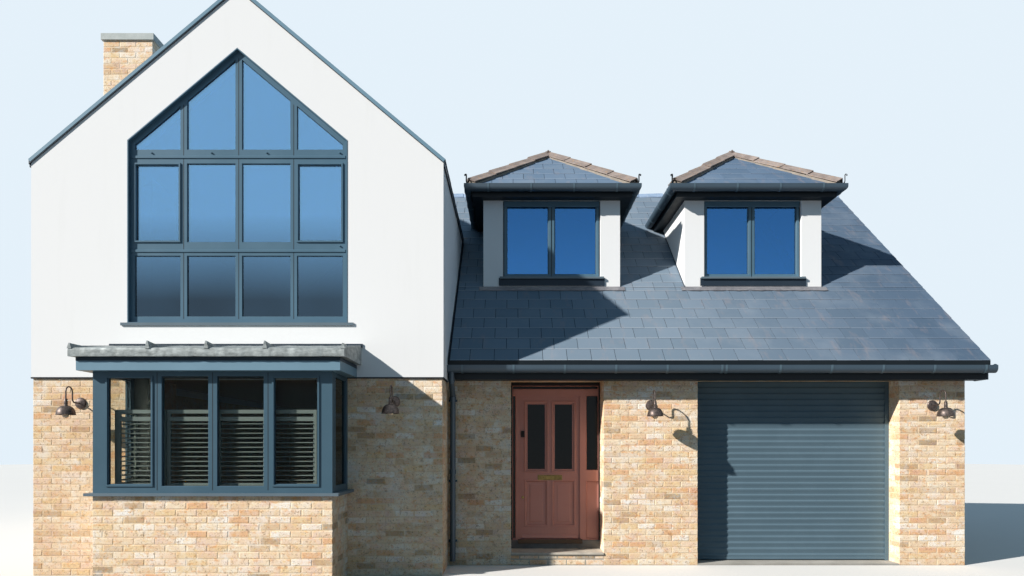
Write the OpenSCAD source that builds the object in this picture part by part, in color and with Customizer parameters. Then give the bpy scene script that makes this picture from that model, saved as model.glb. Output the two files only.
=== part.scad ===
/* [Gable block] */
// Width of the gable block over its render
gable_w = 4765; // [4500:5:5400]
// How far the gable stands in front of the main front wall
gable_projection = 710; // [500:10:1000]
// How far the gable stands behind the main rear wall
gable_rear = 350; // [320:10:900]
// Height of the gable roof at the outside of its side walls
gable_eaves_z = 4820; // [4700:10:5200]
// Pitch of the gable roof in degrees
gable_pitch = 40; // [37:1:44]
// Height where the brick ends and the render begins
render_foot_z = 2290; // [2200:5:2330]
// How far the render stands in front of the brick
render_proud = 15; // [5:1:30]

/* [Main block] */
// Width of the main block from the gable to its end wall
main_w = 6490; // [6300:10:8000]
// Depth of the main block from front wall to rear wall
main_depth = 7580; // [7200:10:9000]
// Pitch of the main roof in degrees
main_pitch = 41; // [40:1:43]
// Height of the slates at the main eaves edge
main_eaves_z = 2549; // [2530:1:2620]
// How far the slates stand in front of the main wall at the eaves
eaves_out = 215; // [200:5:260]
// How far the main roof stands over its end wall
verge_out = 175; // [100:5:300]

/* [Walls, floors and roofs] */
// Thickness of the outer walls
wall_t = 300; // [260:10:340]
// Height of the ground floor
floor_z = 250; // [180:5:270]
// Height of the garage floor and its threshold
garage_floor_z = 20; // [10:5:60]
// Height of the upper floor
upper_floor_z = 2650; // [2600:10:2700]
// Thickness of the upper floor with its ceiling
upper_floor_t = 250; // [200:10:260]
// Thickness of the slates on every roof
slate_t = 30; // [20:1:40]
// Thickness of the rafters and lining under the slates
roof_t = 160; // [120:10:180]
// Height of the interior opening between the blocks
inner_opening_z = 2150; // [2000:10:2200]

/* [Openings of the main front] */
// Head height of the entrance and the garage
opening_head_z = 2335; // [2300:5:2380]
// Width of the wall between the gable and the entrance
left_pier_w = 777; // [600:1:900]
// Width of the entrance recess
entrance_w = 1170; // [1150:5:1300]
// Width of the wall between the garage and the end of the house
right_pier_w = 820; // [600:10:1000]
// Width of the garage opening
garage_w = 2543; // [2300:1:2650]
// Depth from the wall face to the entrance frame
entrance_recess = 370; // [330:5:400]
// Depth from the wall face to the shutter curtain
shutter_recess = 253; // [200:1:260]

/* [Gable window] */
// Width of the gable window opening
gable_window_w = 2540; // [2300:10:2700]
// Sill height of the gable window
gable_window_sill_z = 2920; // [2850:10:3000]
// Height where the slopes of the gable window start
gable_window_spring_z = 5035; // [4985:5:5060]
// Depth of the gable window's reveal
gable_window_reveal = 40; // [30:5:160]
// Width of the gable window's mullions
gable_mullion_w = 70; // [50:1:90]

/* [Bay window] */
// Width of the bay
bay_w = 2540; // [2400:10:2700]
// How far the bay stands out from the gable
bay_out = 660; // [500:10:900]
// Height of the brick plinth under the bay
bay_plinth_z = 970; // [900:10:1100]
// Height of the top of the bay frame
bay_head_z = 2291; // [2291:1:2330]
// Height of the fascia over the bay
bay_fascia_h = 117; // [80:1:150]
// How far the bay fascia stands over the frame
bay_fascia_over = 110; // [80:5:150]
// How far the lead roof stands over the bay frame
bay_roof_over = 165; // [155:5:200]
// Height of the lead roof at the gable wall
bay_roof_top_z = 2669; // [2640:1:2720]
// Thickness of the bay's brick walls
bay_wall_t = 250; // [200:10:300]
// Top height of the shutters inside the bay
shutter_top_z = 1890; // [1700:10:2000]

/* [Dormers] */
// Width of each dormer over its cheeks
dormer_w = 1955; // [1900:5:2100]
// Distance of the dormer fronts behind the main wall face
dormer_face_y = 1185; // [1100:5:1250]
// Distance from the gable to the middle of the left dormer
dormer_left_x = 1360; // [1330:5:1420]
// Distance between the middles of the dormers
dormer_pitch_x = 2878; // [2750:5:3000]
// Height of the slates at the dormer eaves
dormer_eaves_z = 5165; // [5120:5:5200]
// How far the dormer slates stand out from the walls
dormer_over = 190; // [180:5:220]
// Width of the dormer windows
dormer_window_w = 1395; // [1250:5:1450]
// Sill height of the dormer windows
dormer_sill_z = 3915; // [3890:5:4000]
// Head height of the dormer windows and height of their soffit
dormer_head_z = 5020; // [4900:5:5030]

/* [Front door] */
// Width of the door leaf
leaf_w = 803; // [780:1:830]
// Height of the bottom of the door leaf
leaf_z0 = 285; // [285:1:300]
// Height of the top of the door leaf
leaf_z1 = 2165; // [2100:5:2165]
// Thickness of the door leaf
leaf_t = 44; // [40:1:54]
// Gap around the door leaf
leaf_gap = 5; // [5:0.5:8]

/* [Chimney] */
// Width of the chimney stack across the gable
stack_w = 665; // [560:5:800]
// Distance of the stack behind the main wall face
stack_y0 = 705; // [500:5:900]
// Depth of the chimney stack
stack_d = 665; // [560:5:800]
// Height of the top of the brick stack
stack_top_z = 7020; // [6800:10:7400]
// Thickness of the chimney cap
cap_t = 85; // [50:5:100]
// Overhang of the chimney cap
cap_over = 25; // [15:1:80]

/* [Rear windows] */
// Width of the window in the lower rear wall of the gable
rear_low_w = 2100; // [1500:10:2500]
// Width of the window in the upper rear wall of the gable
rear_high_w = 1395; // [1000:5:2000]
// Width of the kitchen window in the main rear wall
rear_wide_w = 1800; // [1400:10:2200]
// Width of the small window in the main rear wall
rear_small_w = 1200; // [800:10:1500]
// Sill height of the lower rear windows
rear_sill_z = 1000; // [900:10:1100]
// Head height of the lower rear windows
rear_head_z = 2150; // [2050:10:2180]

/* [Trim] */
// Front to back width of the gutters
gutter_w = 112; // [100:1:112]
// Height of the gutters
gutter_h = 94; // [85:1:110]
// Diameter of the downpipes
pipe_d = 68; // [60:1:76]
// Height of the trim along the gable slopes
verge_trim_h = 50; // [40:1:90]
// How far the trim stands in front of the gable
verge_trim_out = 15; // [12:1:40]
// Half the width of the ridge tiles
ridge_half_w = 125; // [100:5:150]
// Height of the wall lamps
lamp_z = 2010; // [1900:5:2060]

/* [Hidden] */
$fn = 48;

// Margin by which a cutting shape runs past what it cuts
past = 20;
// Gap between roof pieces that lie on one another
bed_gap = 0.3;

// Gable block
gable_front_y = -gable_projection;
gable_rear_y = main_depth + gable_rear;
gable_mid_x = gable_w / 2;
gable_side_over = 20;
gable_tan = tan(gable_pitch);
gable_slate_v = slate_t / cos(gable_pitch);
gable_roof_v = roof_t / cos(gable_pitch);
gable_apex_z = gable_eaves_z + gable_mid_x * gable_tan;
roof_bearing = wall_t / 2;
function gable_top(x) = gable_eaves_z + min(x, gable_w - x) * gable_tan;
function gable_deck(x) = gable_top(x) - gable_slate_v;
function gable_ceiling(x) = gable_deck(x) - gable_roof_v;

// Main block
main_x0 = gable_w;
main_x1 = gable_w + main_w;
main_mid_y = main_depth / 2;
main_tan = tan(main_pitch);
main_slate_v = slate_t / cos(main_pitch);
main_roof_v = roof_t / cos(main_pitch);
function main_top(y) = main_eaves_z + (min(y, main_depth - y) + eaves_out) * main_tan;
function main_deck(y) = main_top(y) - main_slate_v;
function main_ceiling(y) = main_deck(y) - main_roof_v;
main_ridge_z = main_top(main_mid_y);
valley_x = min(gable_w, gable_w - (main_ridge_z - gable_eaves_z) / gable_tan);
slate_lap = 35;
board_t = 20;
fascia_out = eaves_out - slate_lap;
rafter_out = fascia_out - board_t;
soffit_z = opening_head_z - 15;
soffit_t = 12;
bargeboard_mid_h = 280;
bargeboard_foot_in = 60;

// Openings of the main front
entrance_x0 = main_x0 + left_pier_w;
entrance_x1 = entrance_x0 + entrance_w;
garage_x1 = main_x1 - right_pier_w;
garage_x0 = garage_x1 - garage_w;
return_t = 215;
return_y1 = 500;
garage_depth = 5500;
garage_side = 300;
inner_opening_y0 = 1500;
inner_opening_y1 = 3600;

// Gable window
gw_x0 = gable_mid_x - gable_window_w / 2;
gw_x1 = gable_mid_x + gable_window_w / 2;
gw_front_y = gable_front_y + gable_window_reveal;
gw_depth = 70;
gw_ring = 58;
gw_bottom = 82;
gw_mullion_x = 639;
gw_row_z = [[gable_window_sill_z + gw_bottom, 3714], [3865, 4786], [4940, gable_apex_z]];
gw_sash = 18;
gw_sash_out = 14;
sash_in = 10;
liner_t = 12;
liner_out = 6;
glass_t = 24;

// Bay
bay_x0 = gable_mid_x - bay_w / 2;
bay_x1 = gable_mid_x + bay_w / 2;
bay_front_y = gable_front_y - bay_out;
bay_sill_t = 30;
bay_frame_z0 = bay_plinth_z + bay_sill_t;
bay_frame_d = 70;
bay_post = 137;
bay_mullion = 86;
bay_wall_post = 60;
bay_rail = 70;
bay_head = 46;
bay_light_w = (bay_w - 2 * bay_post - 3 * bay_mullion) / 4;
bay_sash = 20;
bay_sash_out = 12;
shutter_behind = 120;
shutter_gap = 12;
shutter_t = 28;
shutter_rail = 90;
shutter_stile = 45;
side_shutter_in = 40;
louvre_gap = 52;
louvre_tilt = 40;
louvre_w = 56;
louvre_t = 10;
bay_fascia_z1 = bay_head_z + bay_fascia_h;
bay_lead_lift = 17;
bay_roof_z0 = bay_fascia_z1 + bay_lead_lift;
bay_roof_edge_h = 106;
bay_roof_y0 = bay_front_y - bay_roof_over;
bay_roof_x0 = bay_x0 - bay_roof_over;
bay_roof_x1 = bay_x1 + bay_roof_over;
bay_lead_in = 40;
lead_roll_r = 20;
lead_roll_gap = 610;

// Ridge tiles
ridge_top_t = 42;
ridge_edge_t = 25;

// Dormers
dormer_half = dormer_w / 2 + dormer_over;
dormer_front_y = dormer_face_y - dormer_over;
dormer_tan = (main_ridge_z - dormer_eaves_z) / dormer_half;
dormer_pitch = atan(dormer_tan);
dormer_slate_v = slate_t / cos(dormer_pitch);
dormer_rafter_t = 90;
dormer_roof_v = dormer_rafter_t / cos(dormer_pitch);
dormer_front_t = 200;
dormer_cheek_t = 150;
dormer_fascia_out = dormer_over - 40;
dormer_fascia_z0 = dormer_head_z - 10;
dormer_fascia_z1 = dormer_eaves_z + (dormer_over - dormer_fascia_out) * dormer_tan - dormer_slate_v;
dormer_gutter_z1 = dormer_eaves_z - 2;
dormer_frame_in = 60;
hip_tile_w = 230;
hip_tile_lift = 60;

// Entrance, measured from the left side of the recess
frame_y0 = entrance_recess;
frame_y1 = frame_y0 + 65;
cill_z0 = 158;
cill_z1 = leaf_z0 - leaf_gap;
jamb_w = 20;
slim_light_w = 47;
left_post_w = 40;
right_post_w = 65;
leaf_x0 = entrance_x0 + jamb_w + slim_light_w + left_post_w + leaf_gap;
leaf_x1 = leaf_x0 + leaf_w;
transom_z0 = leaf_z1 + leaf_gap;
transom_z1 = transom_z0 + 70;
head_z0 = opening_head_z - 45;
leaf_y1 = frame_y1 + 4;
leaf_y0 = leaf_y1 - leaf_t;
stop_w = 14;
stop_y1 = leaf_y0 - leaf_gap;
sidelight_x0 = leaf_x1 + leaf_gap + right_post_w;
sidelight_x1 = entrance_x1 - jamb_w;
side_panel_in = 22;
stile_w = 90;
muntin_w = 95;
lock_rail_z0 = 1043;
lock_rail_z1 = 1178;
bottom_rail_h = 170;
top_rail_h = 99;
panel_x = [[leaf_x0 + stile_w, (leaf_x0 + leaf_x1 - muntin_w) / 2],
    [(leaf_x0 + leaf_x1 + muntin_w) / 2, leaf_x1 - stile_w]];
panel_sink = 12;
bead_w = 18;
door_glass_t = 14;
hinge_r = 9;
hinge_pin_r = 4;
hinge_pin_gap = 0.5;
hinge_notch = 3;
hinge_x = leaf_x1 + leaf_gap / 2;
hinge_y = leaf_y1 + hinge_r;
hinge_zs = [500, 1210, 1930];
hinge_knuckle_h = 34;
hinge_knuckle_gap = 1;
hinge_leaf_w = 32;
hinge_leaf_t = 6;

// Garage shutter
slat_h = 77;
slat_groove = 14;
slat_groove_d = 6;
curtain_t = 20;
curtain_z0 = garage_floor_z + 10;
guide_w = 52;
guide_wall = 6;
guide_gap = 2;
curtain_side = 15;
coil_box = 250;
coil_box_z1 = upper_floor_z - upper_floor_t - 10;

// Chimney
flue_foot_z = floor_z;

// Rear windows
rear_high_z0 = 3650;
rear_high_z1 = 4730;
rear_wide_side = 850;
rear_small_side = 1290;
rear_wide_x = main_x0 + rear_wide_side + rear_wide_w / 2;
rear_small_x = main_x1 - rear_small_side - rear_small_w / 2;
rear_frame_in = 100;
window_depth = 70;
casement_ring = 55;
casement_bar = 90;
sill_t = 28;
sill_out = 40;
gable_sill_out = 18;
sill_side = 45;
gable_sill_over = 75;
gable_sill_lip = 4;
bay_sill_over = 75;
bay_sill_out = 45;

// Gutters and pipes
gutter_wall = 5;
gutter_gap = 8;
gutter_z1 = main_eaves_z - 62;
gutter_y0 = -fascia_out - gutter_gap - gutter_w;
gutter_end = 38;
gutter_brackets = 4;
bracket_w = 30;
bracket_h = 40;
pipe_from_wall = 60;
pipe_foot_z = 60;
pipe_collar = 7;
neck_drop = 45;
neck_h = 150;
outlet_up = 10;
outlet_h = 40;
socket_drop = 70;
socket_h = 55;
pipe_joint_z = 1150;
clip_mid_z = 1050;
clip_low_z = 300;
clip_h = 25;
clip_half_w = 52;
front_pipe_x = main_x0 + 52;
rear_pipe_x = main_x1 - 200;

// Wall lamps
lamp_tube_r = 8;
lamp_disc_r = 66;
lamp_disc_t = 25;
lamp_stub = 115;
lamp_bend_r = 44;
lamp_riser_z = 115;
lamp_hoop_r = 58;
lamp_drop_z = 30;
lamp_neck_r = 19;
lamp_neck_z = -44;
lamp_shade_step = 6;
lamp_shade_r = 105;
lamp_shade_z = -142;
lamp_side = 568;
lamp_xs_gable = [lamp_side, gable_w - lamp_side];
lamp_xs_main = [(entrance_x1 + garage_x0) / 2, garage_x1 + right_pier_w / 2];

// The origin stands under the middle of the whole house
house_x0 = -max(cap_over, gable_side_over);
house_x1 = main_x1 + verge_out + gutter_end;
house_y1 = max(main_depth + fascia_out + gutter_gap + gutter_w,
    gable_rear_y + max(verge_trim_out, sill_out));
origin_x = (house_x0 + house_x1) / 2;
origin_y = (bay_roof_y0 + house_y1) / 2;

// Shared shapes

module place() {
    translate([-origin_x, -origin_y, 0]) children();
}

module block(x0, x1, y0, y1, z0, z1) {
    translate([x0, y0, z0]) cube([x1 - x0, y1 - y0, z1 - z0]);
}

// Extrudes an outline drawn in x and z between two values of y
module along_y(y0, y1) {
    translate([0, y1, 0]) rotate([90, 0, 0]) linear_extrude(y1 - y0) children();
}

// Extrudes an outline drawn in y and z between two values of x
module along_x(x0, x1) {
    translate([x0, 0, 0]) rotate([90, 0, 90]) linear_extrude(x1 - x0) children();
}

module rect(x0, x1, z0, z1) {
    translate([x0, z0]) square([x1 - x0, z1 - z0]);
}

// Everything under the gable block's roof surface
module gable_body_2d() {
    polygon([[0, -past], [gable_w, -past], [gable_w, gable_eaves_z],
        [gable_mid_x, gable_apex_z], [0, gable_eaves_z]]);
}

module gable_body() {
    translate([0, 0, bed_gap]) along_y(gable_front_y - past, gable_rear_y + past)
        gable_body_2d();
}

// Everything under the main roof surface, between two values of x
module main_body(x0, x1) {
    along_x(x0, x1) polygon([[-eaves_out, -past], [main_depth + eaves_out, -past],
        [main_depth + eaves_out, main_eaves_z], [main_mid_y, main_ridge_z],
        [-eaves_out, main_eaves_z]]);
}

// The lower side of the main roof, which the walls under it are cut to
module main_ceiling_2d() {
    polygon([[-past, -past], [main_depth + past, -past],
        [main_depth + past, main_ceiling(main_depth + past)],
        [main_mid_y, main_ceiling(main_mid_y)], [-past, main_ceiling(-past)]]);
}

// Equal lights in a rectangular frame
module lights_2d(x0, x1, z0, z1, ring, bar, count) {
    light_w = (x1 - x0 - 2 * ring - (count - 1) * bar) / count;
    for (i = [0 : count - 1])
        translate([x0 + ring + i * (light_w + bar), z0 + ring])
            square([light_w, z1 - z0 - 2 * ring]);
}

module casement_frame(x0, x1, y0, z0, z1, count) {
    along_y(y0, y0 + window_depth) difference() {
        rect(x0, x1, z0, z1);
        lights_2d(x0, x1, z0, z1, casement_ring, casement_bar, count);
    }
}

module casement_panes(x0, x1, y0, z0, z1, count) {
    pane_y = y0 + (window_depth - glass_t) / 2;
    along_y(pane_y, pane_y + glass_t)
        lights_2d(x0, x1, z0, z1, casement_ring, casement_bar, count);
}

// Floors

module breast(z0, z1) {
    block(wall_t, stack_w, stack_y0, stack_y0 + stack_d, z0, z1);
}

module ground_floor() {
    color("#b9b4aa") place() {
        block(wall_t, gable_w - wall_t, gable_front_y + wall_t, gable_rear_y - wall_t,
            0, floor_z);
        block(bay_x0 + bay_wall_t, bay_x1 - bay_wall_t, bay_front_y + bay_wall_t,
            gable_front_y + wall_t, 0, floor_z);
        difference() {
            block(main_x0, main_x1 - wall_t, wall_t, main_depth - wall_t, 0, floor_z);
            block(garage_x0 - garage_side, main_x1, 0, garage_depth, garage_floor_z,
                floor_z + past);
            block(entrance_x0 - return_t, entrance_x0, 0, return_y1, -past, floor_z + past);
            block(entrance_x1, entrance_x1 + return_t, 0, return_y1, -past, floor_z + past);
            block(entrance_x0 - past, entrance_x1 + past, 0, frame_y1, -past, floor_z + past);
        }
        block(garage_x0, garage_x1, 0, wall_t, 0, garage_floor_z);
    }
}

module upper_floor() {
    color("#c9b694") place() {
        difference() {
            block(wall_t, gable_w - wall_t, gable_front_y + wall_t, gable_rear_y - wall_t,
                upper_floor_z - upper_floor_t, upper_floor_z);
            breast(0, upper_floor_z + past);
        }
        block(main_x0, main_x1 - wall_t, wall_t, main_depth - wall_t,
            upper_floor_z - upper_floor_t, upper_floor_z);
    }
}

// Gable block

module gable_front_wall_lower() {
    color("#b98d62") place()
        for (x = [[render_proud, bay_x0 + bay_wall_t], [bay_x1 - bay_wall_t, gable_w - render_proud]])
            block(x[0], x[1], gable_front_y + render_proud, gable_front_y + wall_t,
                0, render_foot_z);
}

// An end wall of the gable block above the brick, up to the slates
module gable_end_2d() {
    polygon([[0, render_foot_z], [gable_w, render_foot_z], [gable_w, gable_deck(0)],
        [gable_mid_x, gable_deck(gable_mid_x)], [0, gable_deck(0)]]);
}

// Five-sided opening of the gable window, drawn in by inset on every side
module gable_window_2d(inset) {
    slope = inset / cos(gable_pitch);
    apex = gable_window_spring_z + gable_window_w / 2 * gable_tan - slope;
    side = gable_window_spring_z + inset * gable_tan - slope;
    polygon([[gw_x0 + inset, gable_window_sill_z + inset],
        [gw_x1 - inset, gable_window_sill_z + inset],
        [gw_x1 - inset, side], [gable_mid_x, apex], [gw_x0 + inset, side]]);
}

module gable_front_wall_upper() {
    color("white") place()
        along_y(gable_front_y, gable_front_y + wall_t) difference() {
            gable_end_2d();
            gable_window_2d(0);
        }
}

module gable_side_walls_lower() {
    y0 = gable_front_y + wall_t;
    y1 = gable_rear_y - wall_t;
    color("#b98d62") place() {
        block(render_proud, wall_t, y0, y1, 0, render_foot_z);
        difference() {
            block(gable_w - wall_t, gable_w, y0, y1, 0, render_foot_z);
            block(gable_w - render_proud, gable_w + past, y0 - past, 0, -past,
                render_foot_z + past);
            block(gable_w - render_proud, gable_w + past, main_depth, y1 + past, -past,
                render_foot_z + past);
            block(gable_w - wall_t - past, gable_w + past, inner_opening_y0, inner_opening_y1,
                floor_z, inner_opening_z);
        }
    }
}

// Upper side wall, notched where the rafters rest on it
module gable_side_upper_2d() {
    polygon([[0, render_foot_z], [wall_t, render_foot_z], [wall_t, gable_ceiling(wall_t)],
        [wall_t - roof_bearing, gable_ceiling(wall_t - roof_bearing)],
        [wall_t - roof_bearing, gable_deck(wall_t - roof_bearing)], [0, gable_deck(0)]]);
}

module gable_side_wall_left_upper() {
    along_y(gable_front_y + wall_t, gable_rear_y - wall_t) gable_side_upper_2d();
}

module gable_side_walls_upper() {
    color("white") place() {
        gable_side_wall_left_upper();
        translate([gable_w, 0, 0]) mirror([1, 0, 0]) gable_side_wall_left_upper();
    }
}

module gable_rear_wall_lower() {
    y0 = gable_rear_y - wall_t;
    color("#b98d62") place() difference() {
        block(render_proud, gable_w - render_proud, y0, gable_rear_y - render_proud,
            0, render_foot_z);
        block(gable_mid_x - rear_low_w / 2, gable_mid_x + rear_low_w / 2, y0 - past,
            gable_rear_y + past, rear_sill_z, rear_head_z);
    }
}

module gable_rear_wall_upper() {
    color("white") place()
        along_y(gable_rear_y - wall_t, gable_rear_y) difference() {
            gable_end_2d();
            rect(gable_mid_x - rear_high_w / 2, gable_mid_x + rear_high_w / 2,
                rear_high_z0, rear_high_z1);
        }
}

module gable_roof_left() {
    bearing_x = wall_t - roof_bearing;
    along_y(gable_front_y, gable_rear_y) polygon([
        [-gable_side_over, gable_top(-gable_side_over)], [gable_mid_x, gable_apex_z],
        [gable_mid_x, gable_deck(gable_mid_x)],
        [-gable_side_over, gable_deck(-gable_side_over)]]);
    along_y(gable_front_y + wall_t, gable_rear_y - wall_t) polygon([
        [bearing_x, gable_deck(bearing_x)], [gable_mid_x, gable_deck(gable_mid_x)],
        [gable_mid_x, gable_ceiling(gable_mid_x)], [bearing_x, gable_ceiling(bearing_x)]]);
}

module gable_roof() {
    color("#3f4852") place() difference() {
        union() {
            gable_roof_left();
            translate([gable_w, 0, 0]) mirror([1, 0, 0]) gable_roof_left();
        }
        block(-gable_side_over - past, stack_w, stack_y0, stack_y0 + stack_d, 0, stack_top_z);
        main_body(gable_w, gable_w + gable_side_over + past);
    }
}

// Main block

module main_front_piers() {
    color("#b98d62") place() {
        for (x = [[main_x0, entrance_x0], [entrance_x1, garage_x0], [garage_x1, main_x1]])
            block(x[0], x[1], 0, wall_t, 0, opening_head_z);
        for (x = [entrance_x0 - return_t, entrance_x1])
            block(x, x + return_t, wall_t, return_y1, 0, opening_head_z);
    }
}

module main_front_lintel() {
    color("#b98d62") place() {
        intersection() {
            block(main_x0, main_x1, 0, wall_t, opening_head_z, main_ridge_z);
            along_x(main_x0 - past, main_x1 + past) main_ceiling_2d();
        }
        block(entrance_x0 - return_t, entrance_x1 + return_t, wall_t, return_y1,
            opening_head_z, upper_floor_z - upper_floor_t);
    }
}

module main_end_wall() {
    color("#b98d62") place() intersection() {
        block(main_x1 - wall_t, main_x1, wall_t, main_depth - wall_t, 0, main_ridge_z);
        along_x(main_x1 - wall_t - past, main_x1 + past) main_ceiling_2d();
    }
}

module main_rear_wall() {
    color("#b98d62") place() difference() {
        intersection() {
            block(main_x0, main_x1, main_depth - wall_t, main_depth, 0, main_ridge_z);
            along_x(main_x0 - past, main_x1 + past) main_ceiling_2d();
        }
        for (w = [[rear_wide_x, rear_wide_w], [rear_small_x, rear_small_w]])
            block(w[0] - w[1] / 2, w[0] + w[1] / 2, main_depth - wall_t - past,
                main_depth + past, rear_sill_z, rear_head_z);
    }
}

module main_slope() {
    along_x(valley_x, main_x1 + verge_out) polygon([[-eaves_out, main_eaves_z],
        [main_mid_y, main_ridge_z], [main_mid_y, main_deck(main_mid_y)],
        [-eaves_out, main_deck(-eaves_out)]]);
    along_x(valley_x, main_x1 + verge_out - board_t) polygon([
        [-rafter_out, main_deck(-rafter_out)], [main_mid_y, main_deck(main_mid_y)],
        [main_mid_y, main_ceiling(main_mid_y)], [-rafter_out, main_ceiling(-rafter_out)]]);
}

module main_roof_front() {
    color("#3f4852") place() difference() {
        main_slope();
        gable_body();
        each_dormer() dormer_room();
    }
}

module main_roof_rear() {
    color("#3f4852") place() difference() {
        translate([0, main_depth, 0]) mirror([0, 1, 0]) main_slope();
        gable_body();
    }
}

// Ridge tiles with a flat saddle shape over both slopes
module ridge_2d(mid, top, slope) {
    edge_z = top - ridge_half_w * slope;
    polygon([[mid - ridge_half_w, edge_z], [mid, top], [mid + ridge_half_w, edge_z],
        [mid + ridge_half_w, edge_z + ridge_edge_t], [mid, top + ridge_top_t],
        [mid - ridge_half_w, edge_z + ridge_edge_t]]);
}

module ridge_tiles() {
    color("#8f8a84") place() {
        difference() {
            along_x(valley_x, main_x1 + verge_out) ridge_2d(main_mid_y, main_ridge_z, main_tan);
            gable_body();
            each_dormer() hip_body(hip_tile_lift, 0);
        }
        along_y(gable_front_y - verge_trim_out, gable_rear_y + verge_trim_out)
            ridge_2d(gable_mid_x, gable_apex_z, gable_tan);
    }
}

// Dormers

module each_dormer() {
    for (i = [0, 1])
        translate([main_x0 + dormer_left_x + i * dormer_pitch_x, 0, 0]) children();
}

// Everything under a hipped dormer roof whose slopes are lifted by lift; grow runs the
// slopes on past the eaves
module hip_body(lift, grow) {
    half = dormer_half + grow;
    edge_z = dormer_eaves_z + lift - grow * dormer_tan;
    peak_z = main_ridge_z + lift;
    foot_z = main_eaves_z;
    y0 = dormer_front_y - grow;
    intersection() {
        along_y(y0, main_mid_y) polygon([[-half, foot_z], [half, foot_z], [half, edge_z],
            [0, peak_z], [-half, edge_z]]);
        along_x(-half, half) polygon([[y0, foot_z], [main_mid_y, foot_z],
            [main_mid_y, peak_z], [y0 + half, peak_z], [y0, edge_z]]);
    }
}

module dormer_room() {
    inner = dormer_w / 2 - dormer_cheek_t;
    intersection() {
        block(-inner, inner, dormer_face_y + dormer_front_t, main_mid_y, main_eaves_z,
            main_ridge_z);
        hip_body(-dormer_slate_v - dormer_roof_v, 0);
    }
}

module under_main_roof() {
    translate([0, 0, bed_gap]) main_body(-dormer_w, dormer_w);
}

module dormer_walls() {
    half = dormer_w / 2;
    color("white") place() each_dormer() difference() {
        intersection() {
            block(-half, half, dormer_face_y, main_mid_y, main_eaves_z, main_ridge_z);
            hip_body(-dormer_slate_v - dormer_roof_v, 0);
        }
        under_main_roof();
        block(-half + dormer_cheek_t, half - dormer_cheek_t, dormer_face_y + dormer_front_t,
            main_depth, main_eaves_z - past, main_ridge_z + past);
        block(-dormer_window_w / 2, dormer_window_w / 2, dormer_face_y - past,
            dormer_face_y + dormer_front_t + past, dormer_sill_z, dormer_head_z);
    }
}

module dormer_roofs() {
    inner_half = dormer_w / 2 + dormer_fascia_out - board_t;
    color("#3f4852") place() each_dormer() difference() {
        union() {
            difference() {
                hip_body(0, 0);
                hip_body(-dormer_slate_v, past);
            }
            intersection() {
                difference() {
                    hip_body(-dormer_slate_v, 0);
                    hip_body(-dormer_slate_v - dormer_roof_v, past);
                }
                block(-inner_half, inner_half, dormer_face_y - dormer_fascia_out + board_t,
                    main_depth, main_eaves_z, main_ridge_z);
            }
        }
        under_main_roof();
    }
}

module dormer_hip_tiles() {
    run = dormer_half * sqrt(2);
    color("#7d7168") place() each_dormer() difference() {
        hip_body(hip_tile_lift, 0);
        hip_body(bed_gap, past);
        under_main_roof();
        for (s = [-1, 1]) dormer_slate_area(s, run);
        linear_extrude(2 * main_ridge_z) polygon([[-dormer_half, dormer_front_y - past],
            [dormer_half, dormer_front_y - past],
            [dormer_half - hip_tile_w / 2, dormer_front_y],
            [0, dormer_front_y + dormer_half - hip_tile_w / 2],
            [-dormer_half + hip_tile_w / 2, dormer_front_y]]);
    }
}

// The plain slates beside a dormer's hip and ridge, seen from above
module dormer_slate_area(s, run) {
    w = hip_tile_w / 2;
    linear_extrude(2 * main_ridge_z) polygon([
        [s * dormer_half, dormer_front_y + w], [s * (dormer_half + past), dormer_front_y + w],
        [s * (dormer_half + past), main_depth], [s * w, main_depth],
        [s * w, dormer_front_y + dormer_half]]);
}

// Trim

module gable_verge_left() {
    lip = 6;
    polygon([[-gable_side_over, gable_top(-gable_side_over) + lip],
        [gable_mid_x, gable_apex_z + lip], [gable_mid_x, gable_apex_z - verge_trim_h],
        [-gable_side_over, gable_top(-gable_side_over) - verge_trim_h]]);
}

module gable_verge_2d() {
    gable_verge_left();
    translate([gable_w, 0]) mirror([1, 0]) gable_verge_left();
}

// Board under the slates along a side wall of the gable block
module gable_side_board() {
    drop = 40;
    along_y(gable_front_y, gable_rear_y) polygon([
        [-gable_side_over, gable_deck(-gable_side_over)], [0, gable_deck(0)],
        [0, gable_deck(0) - drop], [-gable_side_over, gable_deck(-gable_side_over) - drop]]);
}

module verge_trims() {
    color("#5b7484") place() {
        difference() {
            union() {
                for (y = [gable_front_y - verge_trim_out, gable_rear_y])
                    along_y(y, y + verge_trim_out) gable_verge_2d();
                gable_side_board();
                translate([gable_w, 0, 0]) mirror([1, 0, 0]) gable_side_board();
            }
            main_body(gable_w, gable_w + gable_side_over + past);
            along_y(gable_front_y - 2 * verge_trim_out, gable_rear_y + 2 * verge_trim_out)
                ridge_2d(gable_mid_x, gable_apex_z, gable_tan);
            block(-gable_side_over - past, stack_w, stack_y0, stack_y0 + stack_d, 0,
                stack_top_z);
        }
        along_x(main_x1 + verge_out - board_t, main_x1 + verge_out) polygon([
            [-fascia_out, main_deck(-fascia_out)], [main_mid_y, main_deck(main_mid_y)],
            [main_depth + fascia_out, main_deck(-fascia_out)],
            [main_depth + fascia_out, soffit_z],
            [main_depth - bargeboard_foot_in, soffit_z],
            [main_mid_y, main_deck(main_mid_y) - bargeboard_mid_h],
            [bargeboard_foot_in, soffit_z], [-fascia_out, soffit_z]]);
    }
}

module main_eaves_front() {
    x1 = main_x1 + verge_out - board_t;
    block(main_x0, x1, -fascia_out, -rafter_out, soffit_z, main_deck(-fascia_out));
    block(main_x0, x1, -rafter_out, 0, soffit_z, soffit_z + soffit_t);
}

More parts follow.
